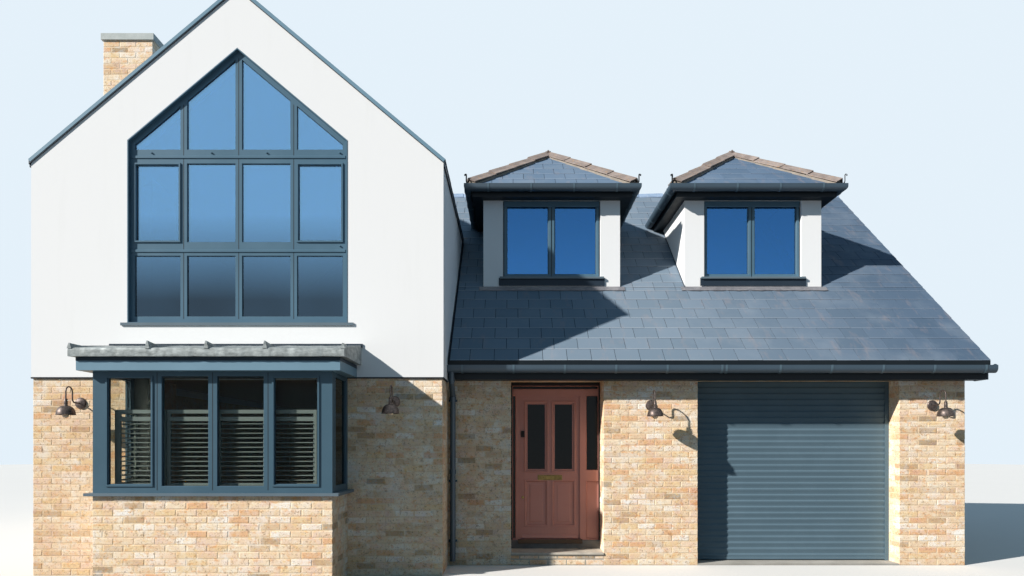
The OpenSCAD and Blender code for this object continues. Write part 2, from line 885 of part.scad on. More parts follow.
module dormer_eaves() {
    half = dormer_w / 2;
    out = dormer_fascia_out;
    difference() {
        block(-half - out, half + out, dormer_face_y - out, main_mid_y, dormer_fascia_z0,
            dormer_fascia_z1);
        block(-half - out + board_t, half + out - board_t, dormer_face_y - out + board_t,
            main_depth, dormer_fascia_z0 + soffit_t, dormer_fascia_z1 + past);
        block(-half, half, dormer_face_y, main_depth, dormer_fascia_z0 - past,
            dormer_fascia_z1 + past);
        under_main_roof();
    }
}

module eaves_boards() {
    color("#39424a") place() {
        main_eaves_front();
        translate([0, main_depth, 0]) mirror([0, 1, 0]) main_eaves_front();
        each_dormer() dormer_eaves();
    }
}

// Trough outline: straight sides over a round bottom, its outer edge at y0
module gutter_2d(y0, z1) {
    r = gutter_w / 2;
    difference() {
        union() {
            translate([y0 + r, z1 - gutter_h + r]) circle(r);
            rect(y0, y0 + gutter_w, z1 - gutter_h + r, z1);
        }
        translate([y0 + r, z1 - gutter_h + r]) circle(r - gutter_wall);
        rect(y0 + gutter_wall, y0 + gutter_w - gutter_wall, z1 - gutter_h + r, z1 + past);
    }
}

module gutter_solid_2d(y0, z1) {
    r = gutter_w / 2;
    translate([y0 + r, z1 - gutter_h + r]) circle(r);
    rect(y0, y0 + gutter_w, z1 - gutter_h + r, z1);
}

module main_gutter() {
    x1 = main_x1 + verge_out + gutter_end;
    along_x(main_x0, x1 - gutter_wall) gutter_2d(gutter_y0, gutter_z1);
    along_x(x1 - gutter_wall, x1) gutter_solid_2d(gutter_y0, gutter_z1);
    for (i = [0 : gutter_brackets - 1]) {
        x = main_x0 + main_w * (i + 0.5) / gutter_brackets;
        block(x, x + bracket_w, gutter_y0 + gutter_w - gutter_wall, -fascia_out,
            gutter_z1 - gutter_wall - bracket_h, gutter_z1 - gutter_wall);
    }
}

module dormer_gutter() {
    difference() {
        dormer_gutter_runs();
        difference() {
            hip_body(0, 0);
            hip_body(-dormer_slate_v, past);
        }
    }
}

module dormer_gutter_runs() {
    outer = dormer_w / 2 + dormer_fascia_out + gutter_w;
    inner = dormer_w / 2 + dormer_fascia_out;
    y0 = dormer_face_y - dormer_fascia_out - gutter_w;
    y1 = y0 + gutter_w;
    z0 = dormer_gutter_z1 - gutter_h;
    intersection() {
        along_x(-outer, outer) gutter_2d(y0, dormer_gutter_z1);
        translate([0, 0, z0]) linear_extrude(gutter_h)
            polygon([[-outer, y0], [outer, y0], [inner, y1], [-inner, y1]]);
    }
    difference() {
        for (s = [0, 1]) mirror([s, 0, 0]) intersection() {
            along_y(y0, main_mid_y) translate([outer, 0]) mirror([1, 0])
                gutter_2d(0, dormer_gutter_z1);
            translate([0, 0, z0]) linear_extrude(gutter_h)
                polygon([[outer, y0], [outer, main_mid_y], [inner, main_mid_y], [inner, y1]]);
        }
        under_main_roof();
    }
}

module gutters() {
    color("#2c3237") place() {
        main_gutter();
        translate([0, main_depth, 0]) mirror([0, 1, 0]) main_gutter();
        each_dormer() dormer_gutter();
    }
}

// Round rod in the plane of y and z, between two points
module rod(from, to, r) {
    d = to - from;
    translate([0, from[0], from[1]]) rotate([atan2(-d[0], d[1]), 0, 0])
        cylinder(h = norm(d), r = r);
}

// Downpipe with a swan neck from the gutter back to the wall
module downpipe() {
    r = pipe_d / 2;
    gutter_mid = gutter_y0 + gutter_w / 2;
    gutter_foot = gutter_z1 - gutter_h;
    neck_top = soffit_z - neck_drop;
    neck_foot = neck_top - neck_h;
    difference() {
        rod([gutter_mid, neck_top], [gutter_mid, gutter_foot + past], r);
        along_x(-gutter_w, gutter_w) translate([gutter_mid, gutter_foot + gutter_w / 2])
            circle(gutter_w / 2 + bed_gap);
    }
    translate([0, gutter_mid, neck_top]) sphere(r + 1);
    rod([gutter_mid, neck_top], [-pipe_from_wall, neck_foot], r);
    translate([0, -pipe_from_wall, neck_foot]) sphere(r + 1);
    rod([-pipe_from_wall, pipe_foot_z], [-pipe_from_wall, neck_foot], r);
    rod([gutter_mid, neck_top + outlet_up], [gutter_mid, neck_top + outlet_up + outlet_h],
        r + pipe_collar);
    for (z = [neck_foot - socket_drop, pipe_joint_z])
        rod([-pipe_from_wall, z], [-pipe_from_wall, z + socket_h], r + pipe_collar);
    for (z = [neck_foot - socket_drop, clip_mid_z, clip_low_z]) {
        rod([-pipe_from_wall, z], [-pipe_from_wall, z + clip_h], r + pipe_collar / 2);
        block(-clip_half_w, clip_half_w, -pipe_from_wall + r - pipe_collar, 0, z, z + clip_h);
    }
}

module downpipes() {
    color("#2c3237") place() {
        translate([front_pipe_x, 0, 0]) downpipe();
        translate([rear_pipe_x, main_depth, 0]) mirror([0, 1, 0]) downpipe();
    }
}

// Windows

module casement_frames() {
    rear_y = gable_rear_y - rear_frame_in - window_depth;
    main_rear_y = main_depth - rear_frame_in - window_depth;
    color("#55707f") place() {
        each_dormer() casement_frame(-dormer_window_w / 2, dormer_window_w / 2,
            dormer_face_y + dormer_frame_in, dormer_sill_z, dormer_head_z, 2);
        casement_frame(gable_mid_x - rear_low_w / 2, gable_mid_x + rear_low_w / 2, rear_y,
            rear_sill_z, rear_head_z, 3);
        casement_frame(gable_mid_x - rear_high_w / 2, gable_mid_x + rear_high_w / 2, rear_y,
            rear_high_z0, rear_high_z1, 2);
        casement_frame(rear_wide_x - rear_wide_w / 2, rear_wide_x + rear_wide_w / 2,
            main_rear_y, rear_sill_z, rear_head_z, 3);
        casement_frame(rear_small_x - rear_small_w / 2, rear_small_x + rear_small_w / 2,
            main_rear_y, rear_sill_z, rear_head_z, 2);
    }
}

module casement_glass() {
    rear_y = gable_rear_y - rear_frame_in - window_depth;
    main_rear_y = main_depth - rear_frame_in - window_depth;
    color("#7f9fb5") place() {
        each_dormer() casement_panes(-dormer_window_w / 2, dormer_window_w / 2,
            dormer_face_y + dormer_frame_in, dormer_sill_z, dormer_head_z, 2);
        casement_panes(gable_mid_x - rear_low_w / 2, gable_mid_x + rear_low_w / 2, rear_y,
            rear_sill_z, rear_head_z, 3);
        casement_panes(gable_mid_x - rear_high_w / 2, gable_mid_x + rear_high_w / 2, rear_y,
            rear_high_z0, rear_high_z1, 2);
        casement_panes(rear_wide_x - rear_wide_w / 2, rear_wide_x + rear_wide_w / 2,
            main_rear_y, rear_sill_z, rear_head_z, 3);
        casement_panes(rear_small_x - rear_small_w / 2, rear_small_x + rear_small_w / 2,
            main_rear_y, rear_sill_z, rear_head_z, 2);
    }
}

// Upright strips of the gable window's four columns
gw_columns = [[gw_x0 + gw_ring, gable_mid_x - gw_mullion_x - gable_mullion_w / 2],
    [gable_mid_x - gw_mullion_x + gable_mullion_w / 2, gable_mid_x - gable_mullion_w / 2],
    [gable_mid_x + gable_mullion_w / 2, gable_mid_x + gw_mullion_x - gable_mullion_w / 2],
    [gable_mid_x + gw_mullion_x + gable_mullion_w / 2, gw_x1 - gw_ring]];

module gable_light(column, row, inset) {
    intersection() {
        gable_window_2d(gw_ring);
        rect(gw_columns[column][0] + inset, gw_columns[column][1] - inset,
            gw_row_z[row][0] + inset, gw_row_z[row][1] - inset);
    }
}

module gable_window_frame() {
    color("#55707f") place() {
        along_y(gw_front_y, gw_front_y + gw_depth) difference() {
            gable_window_2d(liner_t);
            for (row = [0 : 2]) for (column = [0 : 3]) gable_light(column, row, 0);
        }
        for (column = [0, 3])
            along_y(gw_front_y - gw_sash_out, gw_front_y + gw_depth - sash_in) difference() {
                gable_light(column, 1, 0);
                gable_light(column, 1, gw_sash);
            }
        along_y(gable_front_y - liner_out, gw_front_y + gw_depth) difference() {
            gable_window_2d(0);
            gable_window_2d(liner_t);
        }
    }
}

module gable_window_glass() {
    pane_y = gw_front_y + (gw_depth - glass_t) / 2;
    color("#7f9fb5") place() along_y(pane_y, pane_y + glass_t)
        for (row = [0 : 2]) for (column = [0 : 3])
            gable_light(column, row, row == 1 && (column == 0 || column == 3) ? gw_sash : 0);
}

module window_sills() {
    color("#4a5a66") place() {
        block(gw_x0 - gable_sill_over, gw_x1 + gable_sill_over, gable_front_y - gable_sill_out,
            gable_front_y - liner_out, gable_window_sill_z - sill_t,
            gable_window_sill_z + gable_sill_lip);
        difference() {
            block(bay_x0 - bay_sill_over, bay_x1 + bay_sill_over, bay_front_y - bay_sill_out,
                gable_front_y + render_proud, bay_plinth_z, bay_frame_z0);
            block(bay_x0 + bay_wall_t, bay_x1 - bay_wall_t, bay_front_y + bay_wall_t,
                gable_front_y + wall_t, bay_plinth_z - past, bay_frame_z0 + past);
        }
        each_dormer() block(-dormer_window_w / 2 - sill_side, dormer_window_w / 2 + sill_side,
            dormer_face_y - sill_out, dormer_face_y, dormer_sill_z - sill_t, dormer_sill_z);
        for (z = [rear_sill_z, rear_high_z0]) {
            w = z == rear_sill_z ? rear_low_w : rear_high_w;
            block(gable_mid_x - w / 2 - sill_side, gable_mid_x + w / 2 + sill_side,
                gable_rear_y - (z == rear_sill_z ? render_proud : 0), gable_rear_y + sill_out,
                z - sill_t, z);
        }
        for (w = [[rear_wide_x, rear_wide_w], [rear_small_x, rear_small_w]])
            block(w[0] - w[1] / 2 - sill_side, w[0] + w[1] / 2 + sill_side, main_depth,
                main_depth + sill_out, rear_sill_z - sill_t, rear_sill_z);
    }
}

// Bay

module bay_plinth() {
    color("#b98d62") place() difference() {
        block(bay_x0, bay_x1, bay_front_y, gable_front_y + render_proud, 0, bay_plinth_z);
        block(bay_x0 + bay_wall_t, bay_x1 - bay_wall_t, bay_front_y + bay_wall_t,
            gable_front_y + past, -past, bay_plinth_z + past);
    }
}

module bay_light_2d(i, inset) {
    x0 = bay_x0 + bay_post + i * (bay_light_w + bay_mullion);
    rect(x0 + inset, x0 + bay_light_w - inset, bay_frame_z0 + bay_rail + inset,
        bay_head_z - bay_head - inset);
}

module bay_side_light_2d() {
    rect(bay_front_y + bay_post, gable_front_y - bay_wall_post, bay_frame_z0 + bay_rail,
        bay_head_z - bay_head);
}

module bay_window_frame() {
    color("#55707f") place() {
        difference() {
            block(bay_x0, bay_x1, bay_front_y, gable_front_y + render_proud, bay_frame_z0,
                bay_head_z);
            block(bay_x0 - past, bay_x1 + past, gable_front_y, gable_front_y + past,
                render_foot_z, bay_head_z + past);
            block(bay_x0 + bay_frame_d, bay_x1 - bay_frame_d, bay_front_y + bay_frame_d,
                gable_front_y + past, bay_frame_z0 - past, bay_head_z + past);
            along_y(bay_front_y - past, bay_front_y + bay_frame_d + past)
                for (i = [0 : 3]) bay_light_2d(i, 0);
            along_x(bay_x0 - past, bay_x1 + past) bay_side_light_2d();
        }
        along_y(bay_front_y - bay_sash_out, bay_front_y + bay_frame_d - sash_in)
            for (i = [0, 3]) difference() {
                bay_light_2d(i, 0);
                bay_light_2d(i, bay_sash);
            }
    }
}

module bay_window_glass() {
    inset = (bay_frame_d - glass_t) / 2;
    color("#7f9fb5") place() {
        along_y(bay_front_y + inset, bay_front_y + inset + glass_t)
            for (i = [0 : 3]) bay_light_2d(i, i == 0 || i == 3 ? bay_sash : 0);
        along_x(bay_x0 + inset, bay_x0 + inset + glass_t) bay_side_light_2d();
        along_x(bay_x1 - inset - glass_t, bay_x1 - inset) bay_side_light_2d();
    }
}

// Louvred shutter panel in the plane of x and z, from 0 to w
module shutter_panel(w) {
    z0 = bay_frame_z0 + shutter_gap;
    count = floor((shutter_top_z - z0 - 2 * shutter_rail) / louvre_gap);
    along_y(0, shutter_t) difference() {
        rect(0, w, z0, shutter_top_z);
        rect(shutter_stile, w - shutter_stile, z0 + shutter_rail, shutter_top_z - shutter_rail);
    }
    for (i = [0 : count - 1])
        translate([shutter_stile, shutter_t / 2, z0 + shutter_rail + (i + 0.5) * louvre_gap])
            rotate([louvre_tilt, 0, 0]) translate([0, -louvre_w / 2, -louvre_t / 2])
                cube([w - 2 * shutter_stile, louvre_w, louvre_t]);
}

module bay_shutters() {
    y = bay_front_y + bay_frame_d + shutter_behind;
    x0 = bay_x0 + bay_frame_d + shutter_behind;
    w = (bay_w - 2 * bay_frame_d - 2 * shutter_behind) / 4;
    side_w = bay_out - bay_frame_d - shutter_behind - bay_wall_post;
    color("#4a4c4c") place() {
        for (i = [0 : 3])
            translate([x0 + i * w + shutter_gap / 2, y, 0]) shutter_panel(w - shutter_gap);
        for (s = [0, 1])
            translate([s == 0 ? 0 : 2 * gable_mid_x, 0, 0]) mirror([s, 0, 0])
                translate([x0 - shutter_gap, y + side_shutter_in, 0]) rotate([0, 0, 90])
                    shutter_panel(side_w);
    }
}

module bay_fascia() {
    color("#5b7484") place()
        block(bay_x0 - bay_fascia_over, bay_x1 + bay_fascia_over,
            bay_front_y - bay_fascia_over, gable_front_y, bay_head_z, bay_fascia_z1);
}

module bay_roof() {
    edge_z = bay_roof_z0 + bay_roof_edge_h;
    run = gable_front_y - bay_roof_y0;
    slope = atan2(bay_roof_top_z - edge_z, run);
    color("#9aa0a2") place() {
        block(bay_x0 - bay_fascia_over + bay_lead_in, bay_x1 + bay_fascia_over - bay_lead_in,
            bay_front_y - bay_fascia_over + bay_lead_in, gable_front_y, bay_fascia_z1,
            bay_roof_z0);
        along_x(bay_roof_x0, bay_roof_x1) polygon([[bay_roof_y0, bay_roof_z0],
            [gable_front_y, bay_roof_z0], [gable_front_y, bay_roof_top_z],
            [bay_roof_y0, edge_z]]);
        intersection() {
            for (i = [-1 : 1])
                translate([gable_mid_x + i * lead_roll_gap, bay_roof_y0, edge_z])
                    rotate([slope - 90, 0, 0]) cylinder(h = run + 2 * past, r = lead_roll_r);
            block(bay_roof_x0, bay_roof_x1, bay_roof_y0, gable_front_y, bay_roof_z0,
                bay_roof_top_z + 2 * lead_roll_r);
        }
    }
}

// Entrance

module entrance_step() {
    color("#a8a093") place()
        block(entrance_x0, entrance_x1, 0, frame_y1, 0, cill_z0);
}

module entrance_frame() {
    x0 = entrance_x0;
    x1 = entrance_x1;
    color("#7a5a54") place() {
        along_y(frame_y0, frame_y1) difference() {
            rect(x0, x1, cill_z0, opening_head_z);
            rect(leaf_x0 - leaf_gap, leaf_x1 + leaf_gap, cill_z1, transom_z0);
            slim_light_2d();
            sidelight_2d(cill_z1);
            fanlight_2d();
        }
        along_y(frame_y0, stop_y1) difference() {
            rect(leaf_x0 - leaf_gap, leaf_x1 + leaf_gap, cill_z1, transom_z0);
            rect(leaf_x0 - leaf_gap + stop_w, leaf_x1 + leaf_gap - stop_w, cill_z1,
                transom_z0 - stop_w);
        }
        along_y(frame_y0 + side_panel_in, frame_y1 - side_panel_in)
            rect(sidelight_x0, sidelight_x1, cill_z1, lock_rail_z0);
        along_y(frame_y0, frame_y1)
            rect(sidelight_x0, sidelight_x1, lock_rail_z0, lock_rail_z1);
        for (z = hinge_zs) for (dz = [-1, 1]) fixed_knuckle(z + dz * hinge_knuckle_h);
        for (z = hinge_zs) hinge_pin(z);
    }
}

module slim_light_2d() {
    rect(entrance_x0 + jamb_w, entrance_x0 + jamb_w + slim_light_w, cill_z1, leaf_z1);
}

module sidelight_2d(z0) {
    rect(sidelight_x0, sidelight_x1, z0, leaf_z1);
}

module fanlight_2d() {
    rect(entrance_x0 + jamb_w, entrance_x1 - jamb_w, transom_z1, head_z0);
}

// Upper or lower knuckle of a hinge, with its plate on the frame
module fixed_knuckle(z) {
    h = hinge_knuckle_h - hinge_knuckle_gap;
    translate([hinge_x, hinge_y, z - h / 2]) cylinder(h = h, r = hinge_r);
    block(leaf_x1 + leaf_gap, leaf_x1 + leaf_gap + hinge_leaf_w, frame_y1,
        frame_y1 + hinge_leaf_t, z - h / 2, z + h / 2);
}

module hinge_pin(z) {
    translate([hinge_x, hinge_y, z - hinge_knuckle_h]) cylinder(h = 2 * hinge_knuckle_h,
        r = hinge_pin_r);
}

// Middle knuckle of a hinge, bored for the pin, with its plate on the leaf
module moving_knuckle(z) {
    h = hinge_knuckle_h - hinge_knuckle_gap;
    difference() {
        union() {
            translate([hinge_x, hinge_y, z - h / 2]) cylinder(h = h, r = hinge_r);
            block(leaf_x1 - hinge_leaf_w, leaf_x1, leaf_y1, leaf_y1 + hinge_leaf_t,
                z - h / 2, z + h / 2);
        }
        translate([hinge_x, hinge_y, z - hinge_knuckle_h])
            cylinder(h = 2 * hinge_knuckle_h, r = hinge_pin_r + hinge_pin_gap);
    }
}

module entrance_glass() {
    y = (frame_y0 + frame_y1 - door_glass_t) / 2;
    color("#3a454c") place() along_y(y, y + door_glass_t) {
        slim_light_2d();
        sidelight_2d(lock_rail_z1);
        fanlight_2d();
    }
}

module leaf_glass_2d(p, inset) {
    rect(p[0] + inset, p[1] - inset, lock_rail_z1 + inset, leaf_z1 - top_rail_h - inset);
}

module leaf_panel_2d(p) {
    rect(p[0], p[1], leaf_z0 + bottom_rail_h, lock_rail_z0);
}

module front_door_leaf() {
    color("#7c4f49") place() difference() {
        union() {
            along_y(leaf_y0, leaf_y1) difference() {
                rect(leaf_x0, leaf_x1, leaf_z0, leaf_z1);
                for (p = panel_x) leaf_glass_2d(p, 0);
            }
            along_y(leaf_y0 + panel_sink, leaf_y1 - panel_sink) for (p = panel_x)
                difference() {
                    leaf_glass_2d(p, 0);
                    leaf_glass_2d(p, bead_w);
                }
        }
        for (p = panel_x) {
            along_y(leaf_y0 - past, leaf_y0 + panel_sink) leaf_panel_2d(p);
            along_y(leaf_y1 - panel_sink, leaf_y1 + past) leaf_panel_2d(p);
        }
        for (z = hinge_zs)
            translate([hinge_x, hinge_y, z - 2 * hinge_knuckle_h])
                cylinder(h = 4 * hinge_knuckle_h, r = hinge_r + hinge_notch);
    }
}

module front_door_glass() {
    y = (leaf_y0 + leaf_y1 - door_glass_t) / 2;
    color("#3a454c") place() along_y(y, y + door_glass_t)
        for (p = panel_x) leaf_glass_2d(p, bead_w);
}

module front_door_furniture() {
    plate = [320, 67];
    plate_z = 1085;
    plate_t = 8;
    lock_z = 1657;
    keyhole_z = 825;
    lock_r = 17;
    mid_x = (leaf_x0 + leaf_x1) / 2;
    color("#b49a5a") place() {
        block(mid_x - plate[0] / 2, mid_x + plate[0] / 2, leaf_y0 - plate_t, leaf_y0,
            plate_z - plate[1] / 2, plate_z + plate[1] / 2);
        for (z = [lock_z, keyhole_z])
            translate([leaf_x0 + stile_w / 2, leaf_y0, z]) rotate([90, 0, 0])
                cylinder(h = plate_t, r = lock_r);
        for (z = hinge_zs) moving_knuckle(z);
    }
}

// Garage

// Curtain of slats, each flat with a groove at its foot
module garage_shutter() {
    y = shutter_recess;
    z1 = opening_head_z;
    count = ceil((z1 - curtain_z0) / slat_h);
    color("#4b5a63") place()
        along_x(garage_x0 + curtain_side, garage_x1 - curtain_side) {
            rect(y + slat_groove_d, y + curtain_t, curtain_z0, z1);
            for (i = [0 : count - 1])
                rect(y, y + slat_groove_d, curtain_z0 + i * slat_h + slat_groove,
                    min(z1, curtain_z0 + (i + 1) * slat_h));
        }
}

module shutter_guide() {
    y0 = shutter_recess - guide_gap - guide_wall;
    y1 = shutter_recess + curtain_t + guide_gap + guide_wall;
    z0 = garage_floor_z;
    difference() {
        block(garage_x0, garage_x0 + guide_w, y0, y1, z0, opening_head_z);
        block(garage_x0 + curtain_side - guide_gap, garage_x0 + guide_w + past,
            y0 + guide_wall, y1 - guide_wall, z0 - past, opening_head_z + past);
    }
}

module garage_guides() {
    color("#3a4850") place() {
        shutter_guide();
        translate([garage_x0 + garage_x1, 0, 0]) mirror([1, 0, 0]) shutter_guide();
        block(garage_x0, garage_x1, wall_t, wall_t + coil_box, coil_box_z1 - coil_box,
            coil_box_z1);
    }
}

// Chimney

module chimney_stack() {
    color("#b08257") place() difference() {
        union() {
            breast(flue_foot_z, gable_ceiling(wall_t));
            block(0, stack_w, stack_y0, stack_y0 + stack_d, gable_ceiling(wall_t), stack_top_z);
        }
        gable_side_wall_left_upper();
    }
}

module chimney_cap() {
    color("#a9a7a0") place()
        block(-cap_over, stack_w + cap_over, stack_y0 - cap_over,
            stack_y0 + stack_d + cap_over, stack_top_z, stack_top_z + cap_t);
}

// Wall lamps

// Lamp on a wall face at y = 0: disc, gooseneck and bell shade
module lamp() {
    hoop_y = lamp_stub + lamp_bend_r + lamp_hoop_r;
    shade_y = hoop_y + lamp_hoop_r;
    shoulder_r = lamp_neck_r + lamp_shade_step;
    rotate([90, 0, 0]) cylinder(h = lamp_disc_t, r = lamp_disc_r);
    rotate([90, 0, 0]) cylinder(h = lamp_stub, r = lamp_tube_r);
    translate([0, -lamp_stub, lamp_bend_r]) rotate([0, 90, 0]) rotate([0, 0, -90])
        intersection() {
            rotate_extrude() translate([lamp_bend_r, 0]) circle(lamp_tube_r);
            translate([0, 0, -past]) cube([2 * lamp_bend_r, 2 * lamp_bend_r, 2 * past]);
        }
    rod([-lamp_stub - lamp_bend_r, lamp_bend_r], [-lamp_stub - lamp_bend_r, lamp_riser_z],
        lamp_tube_r);
    translate([0, -hoop_y, lamp_riser_z]) intersection() {
        rotate([0, 90, 0]) rotate_extrude() translate([lamp_hoop_r, 0]) circle(lamp_tube_r);
        translate([-lamp_hoop_r, -2 * lamp_hoop_r, 0])
            cube([2 * lamp_hoop_r, 4 * lamp_hoop_r, 2 * lamp_hoop_r]);
    }
    rod([-shade_y, lamp_drop_z], [-shade_y, lamp_riser_z], lamp_tube_r);
    translate([0, -shade_y, 0]) rotate_extrude() polygon(concat(
        [[0, lamp_drop_z], [lamp_neck_r, lamp_drop_z], [lamp_neck_r, lamp_neck_z]],
        [for (a = [0 : 15 : 90]) [shoulder_r + (lamp_shade_r - shoulder_r) * sin(a),
            lamp_neck_z - (lamp_neck_z - lamp_shade_z) * (1 - cos(a))]],
        [[0, lamp_shade_z]]));
}

module wall_lamps() {
    color("#77736c") place() {
        for (x = lamp_xs_gable) translate([x, gable_front_y + render_proud, lamp_z]) lamp();
        for (x = lamp_xs_main) translate([x, 0, lamp_z]) lamp();
    }
}

ground_floor();
upper_floor();
gable_front_wall_lower();
gable_front_wall_upper();
gable_side_walls_lower();
gable_side_walls_upper();
gable_rear_wall_lower();
gable_rear_wall_upper();
main_front_piers();
main_front_lintel();
main_end_wall();
main_rear_wall();
main_roof_front();
main_roof_rear();
gable_roof();
ridge_tiles();
dormer_hip_tiles();
verge_trims();
eaves_boards();
gutters();
downpipes();
dormer_walls();
dormer_roofs();
casement_frames();
casement_glass();
gable_window_frame();
gable_window_glass();
window_sills();
bay_plinth();
bay_window_frame();
bay_window_glass();
bay_shutters();
bay_fascia();
bay_roof();
entrance_step();
entrance_frame();
entrance_glass();
front_door_leaf();
front_door_glass();
front_door_furniture();
garage_shutter();
garage_guides();
chimney_stack();
chimney_cap();
wall_lamps();
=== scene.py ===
import math

import bpy
import numpy as np
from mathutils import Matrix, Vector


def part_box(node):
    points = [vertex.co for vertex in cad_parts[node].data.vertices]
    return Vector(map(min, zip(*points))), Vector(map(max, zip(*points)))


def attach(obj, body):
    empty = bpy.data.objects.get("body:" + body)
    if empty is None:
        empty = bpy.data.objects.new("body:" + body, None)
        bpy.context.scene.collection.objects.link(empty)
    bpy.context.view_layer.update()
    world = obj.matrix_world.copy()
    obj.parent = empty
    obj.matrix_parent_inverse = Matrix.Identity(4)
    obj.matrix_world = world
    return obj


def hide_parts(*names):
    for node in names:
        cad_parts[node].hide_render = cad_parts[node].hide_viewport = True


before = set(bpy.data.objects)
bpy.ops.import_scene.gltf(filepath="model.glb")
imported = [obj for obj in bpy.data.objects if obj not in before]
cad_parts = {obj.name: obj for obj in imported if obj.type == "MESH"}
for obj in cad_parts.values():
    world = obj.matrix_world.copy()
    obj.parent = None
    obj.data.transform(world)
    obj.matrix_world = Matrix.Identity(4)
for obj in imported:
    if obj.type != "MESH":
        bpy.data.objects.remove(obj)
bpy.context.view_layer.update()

# Points below are in metres in the builder's layout: x runs right from the gable's left face,
# y runs back from the main front wall, z runs up from the ground. ORIGIN moves them into the frame.
ORIGIN = np.array([-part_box("gable_front_wall_upper")[0].x, -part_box("main_front_piers")[0].y, 0.0])
RNG = np.random.default_rng(7)

# Directions in the layout
RIGHT = np.array([1.0, 0.0, 0.0])
LEFT = np.array([-1.0, 0.0, 0.0])
BACK = np.array([0.0, 1.0, 0.0])
FORWARD = np.array([0.0, -1.0, 0.0])
UP = np.array([0.0, 0.0, 1.0])

# Gable block
GABLE_W = 4.765
GABLE_MID = GABLE_W / 2
GABLE_FRONT = -0.710
GABLE_REAR = 7.930
GABLE_EAVES = 4.820
GABLE_OVER = 0.020
VERGE_OUT = 0.015
GABLE_PITCH = math.radians(40)
GABLE_TAN = math.tan(GABLE_PITCH)
GABLE_SIN = math.sin(GABLE_PITCH)
GABLE_COS = math.cos(GABLE_PITCH)
GABLE_APEX = GABLE_EAVES + GABLE_MID * GABLE_TAN
RENDER_FOOT = 2.290
RENDER_PROUD = 0.015
GABLE_BRICK = [RENDER_PROUD, GABLE_W - RENDER_PROUD,
               GABLE_FRONT + RENDER_PROUD, GABLE_REAR - RENDER_PROUD]

# Main block
MAIN_X1 = 11.255
MAIN_DEPTH = 7.580
MAIN_MID = MAIN_DEPTH / 2
EAVES_OUT = 0.215
FASCIA_OUT = 0.180
EAVES_Z = 2.549
MAIN_PITCH = math.radians(41)
MAIN_TAN = math.tan(MAIN_PITCH)
MAIN_SIN = math.sin(MAIN_PITCH)
MAIN_COS = math.cos(MAIN_PITCH)
RIDGE_Z = EAVES_Z + (MAIN_MID + EAVES_OUT) * MAIN_TAN
VERGE_X = MAIN_X1 + 0.175
SOFFIT_Z = 2.320
OPENING_HEAD = 2.335
ENTRANCE = [5.542, 6.712]
GARAGE = [7.892, 10.435]
FRAME_Y = 0.370

# Windows: left, right, foot and head of those at the rear
WINDOW_HALF = 1.270
GABLE_WINDOW = [GABLE_MID - WINDOW_HALF, GABLE_MID + WINDOW_HALF]
GABLE_WINDOW_SPRING = 5.035
GABLE_WINDOW_Y = -0.670
REAR_LOW = [GABLE_MID - 1.050, GABLE_MID + 1.050, 1.000, 2.150]
REAR_HIGH = [GABLE_MID - 0.6975, GABLE_MID + 0.6975, 3.650, 4.730]
REAR_WIDE = [5.615, 7.415, 1.000, 2.150]
REAR_SMALL = [8.765, 9.965, 1.000, 2.150]
# Each rear window, its number of casements and the outer face of its wall
REAR_WINDOWS = [(REAR_LOW, 3, GABLE_REAR), (REAR_HIGH, 2, GABLE_REAR),
                (REAR_WIDE, 3, MAIN_DEPTH), (REAR_SMALL, 2, MAIN_DEPTH)]
REAR_SET_BACK = 0.100
MULLION_SPACING = 0.639
CASEMENT_RING = 0.055
CASEMENT_BAR = 0.090

# Bay
BAY = [GABLE_MID - WINDOW_HALF, GABLE_MID + WINDOW_HALF]
BAY_FRONT = -1.370
BAY_PLINTH = 0.970
BAY_CORNER = 0.137
BAY_MULLION = 0.086
BAY_LIGHT = (2 * WINDOW_HALF - 2 * BAY_CORNER - 3 * BAY_MULLION) / 4
BAY_LIGHTS_Z = [1.070, 2.245]
PANE = 0.024
# Bay's lead roof: front edge, then the heights of its foot, its drip's edge and its top
BAY_ROOF_FRONT = -1.535
BAY_ROOF_FOOT = 2.431
BAY_ROOF_EDGE = 2.525
BAY_ROOF_TOP = 2.646

# Dormers
DORMER_XS = [6.125, 9.003]
DORMER_FACE = 1.185
DORMER_HALF = 0.9775
DORMER_OVER = 0.190
DORMER_EDGE = DORMER_HALF + DORMER_OVER
DORMER_EAVES = 5.165
DORMER_FRONT = DORMER_FACE - DORMER_OVER
DORMER_CREST = RIDGE_Z + 0.036
DORMER_TAN = (DORMER_CREST - DORMER_EAVES) / DORMER_EDGE
DORMER_SIN = math.sin(math.atan(DORMER_TAN))
DORMER_COS = math.cos(math.atan(DORMER_TAN))
DORMER_WINDOW = [0.6975, 3.915, 5.020]
DORMER_WINDOW_Y = DORMER_FACE + 0.060
DORMER_FOOT = EAVES_Z + (DORMER_FACE + EAVES_OUT) * MAIN_TAN

# Step: the top of its stone slab, which the threshold stands on
SLAB_TOP = 0.1585

# Front door: left, right, foot and head of the leaf, then its two faces
LEAF = [5.654, 6.457, 0.285, 2.165]
LEAF_FRONT = 0.395
LEAF_BACK = 0.439

# Chimney: left, right, front and rear of the stack
STACK = [0.0, 0.665, 0.705, 1.370]
STACK_TOP = 7.020

# Gutters
GUTTER_R = 0.056
GUTTER_TOP = 2.487
GUTTER_H = 0.094

# Middle of each lamp's disc on the brick
LAMPS = [[0.568, -0.695, 1.994], [4.197, -0.695, 2.010], [7.302, 0.0, 2.010], [10.845, 0.0, 2.010]]
LAMP_REACH = 0.275


# Meshes

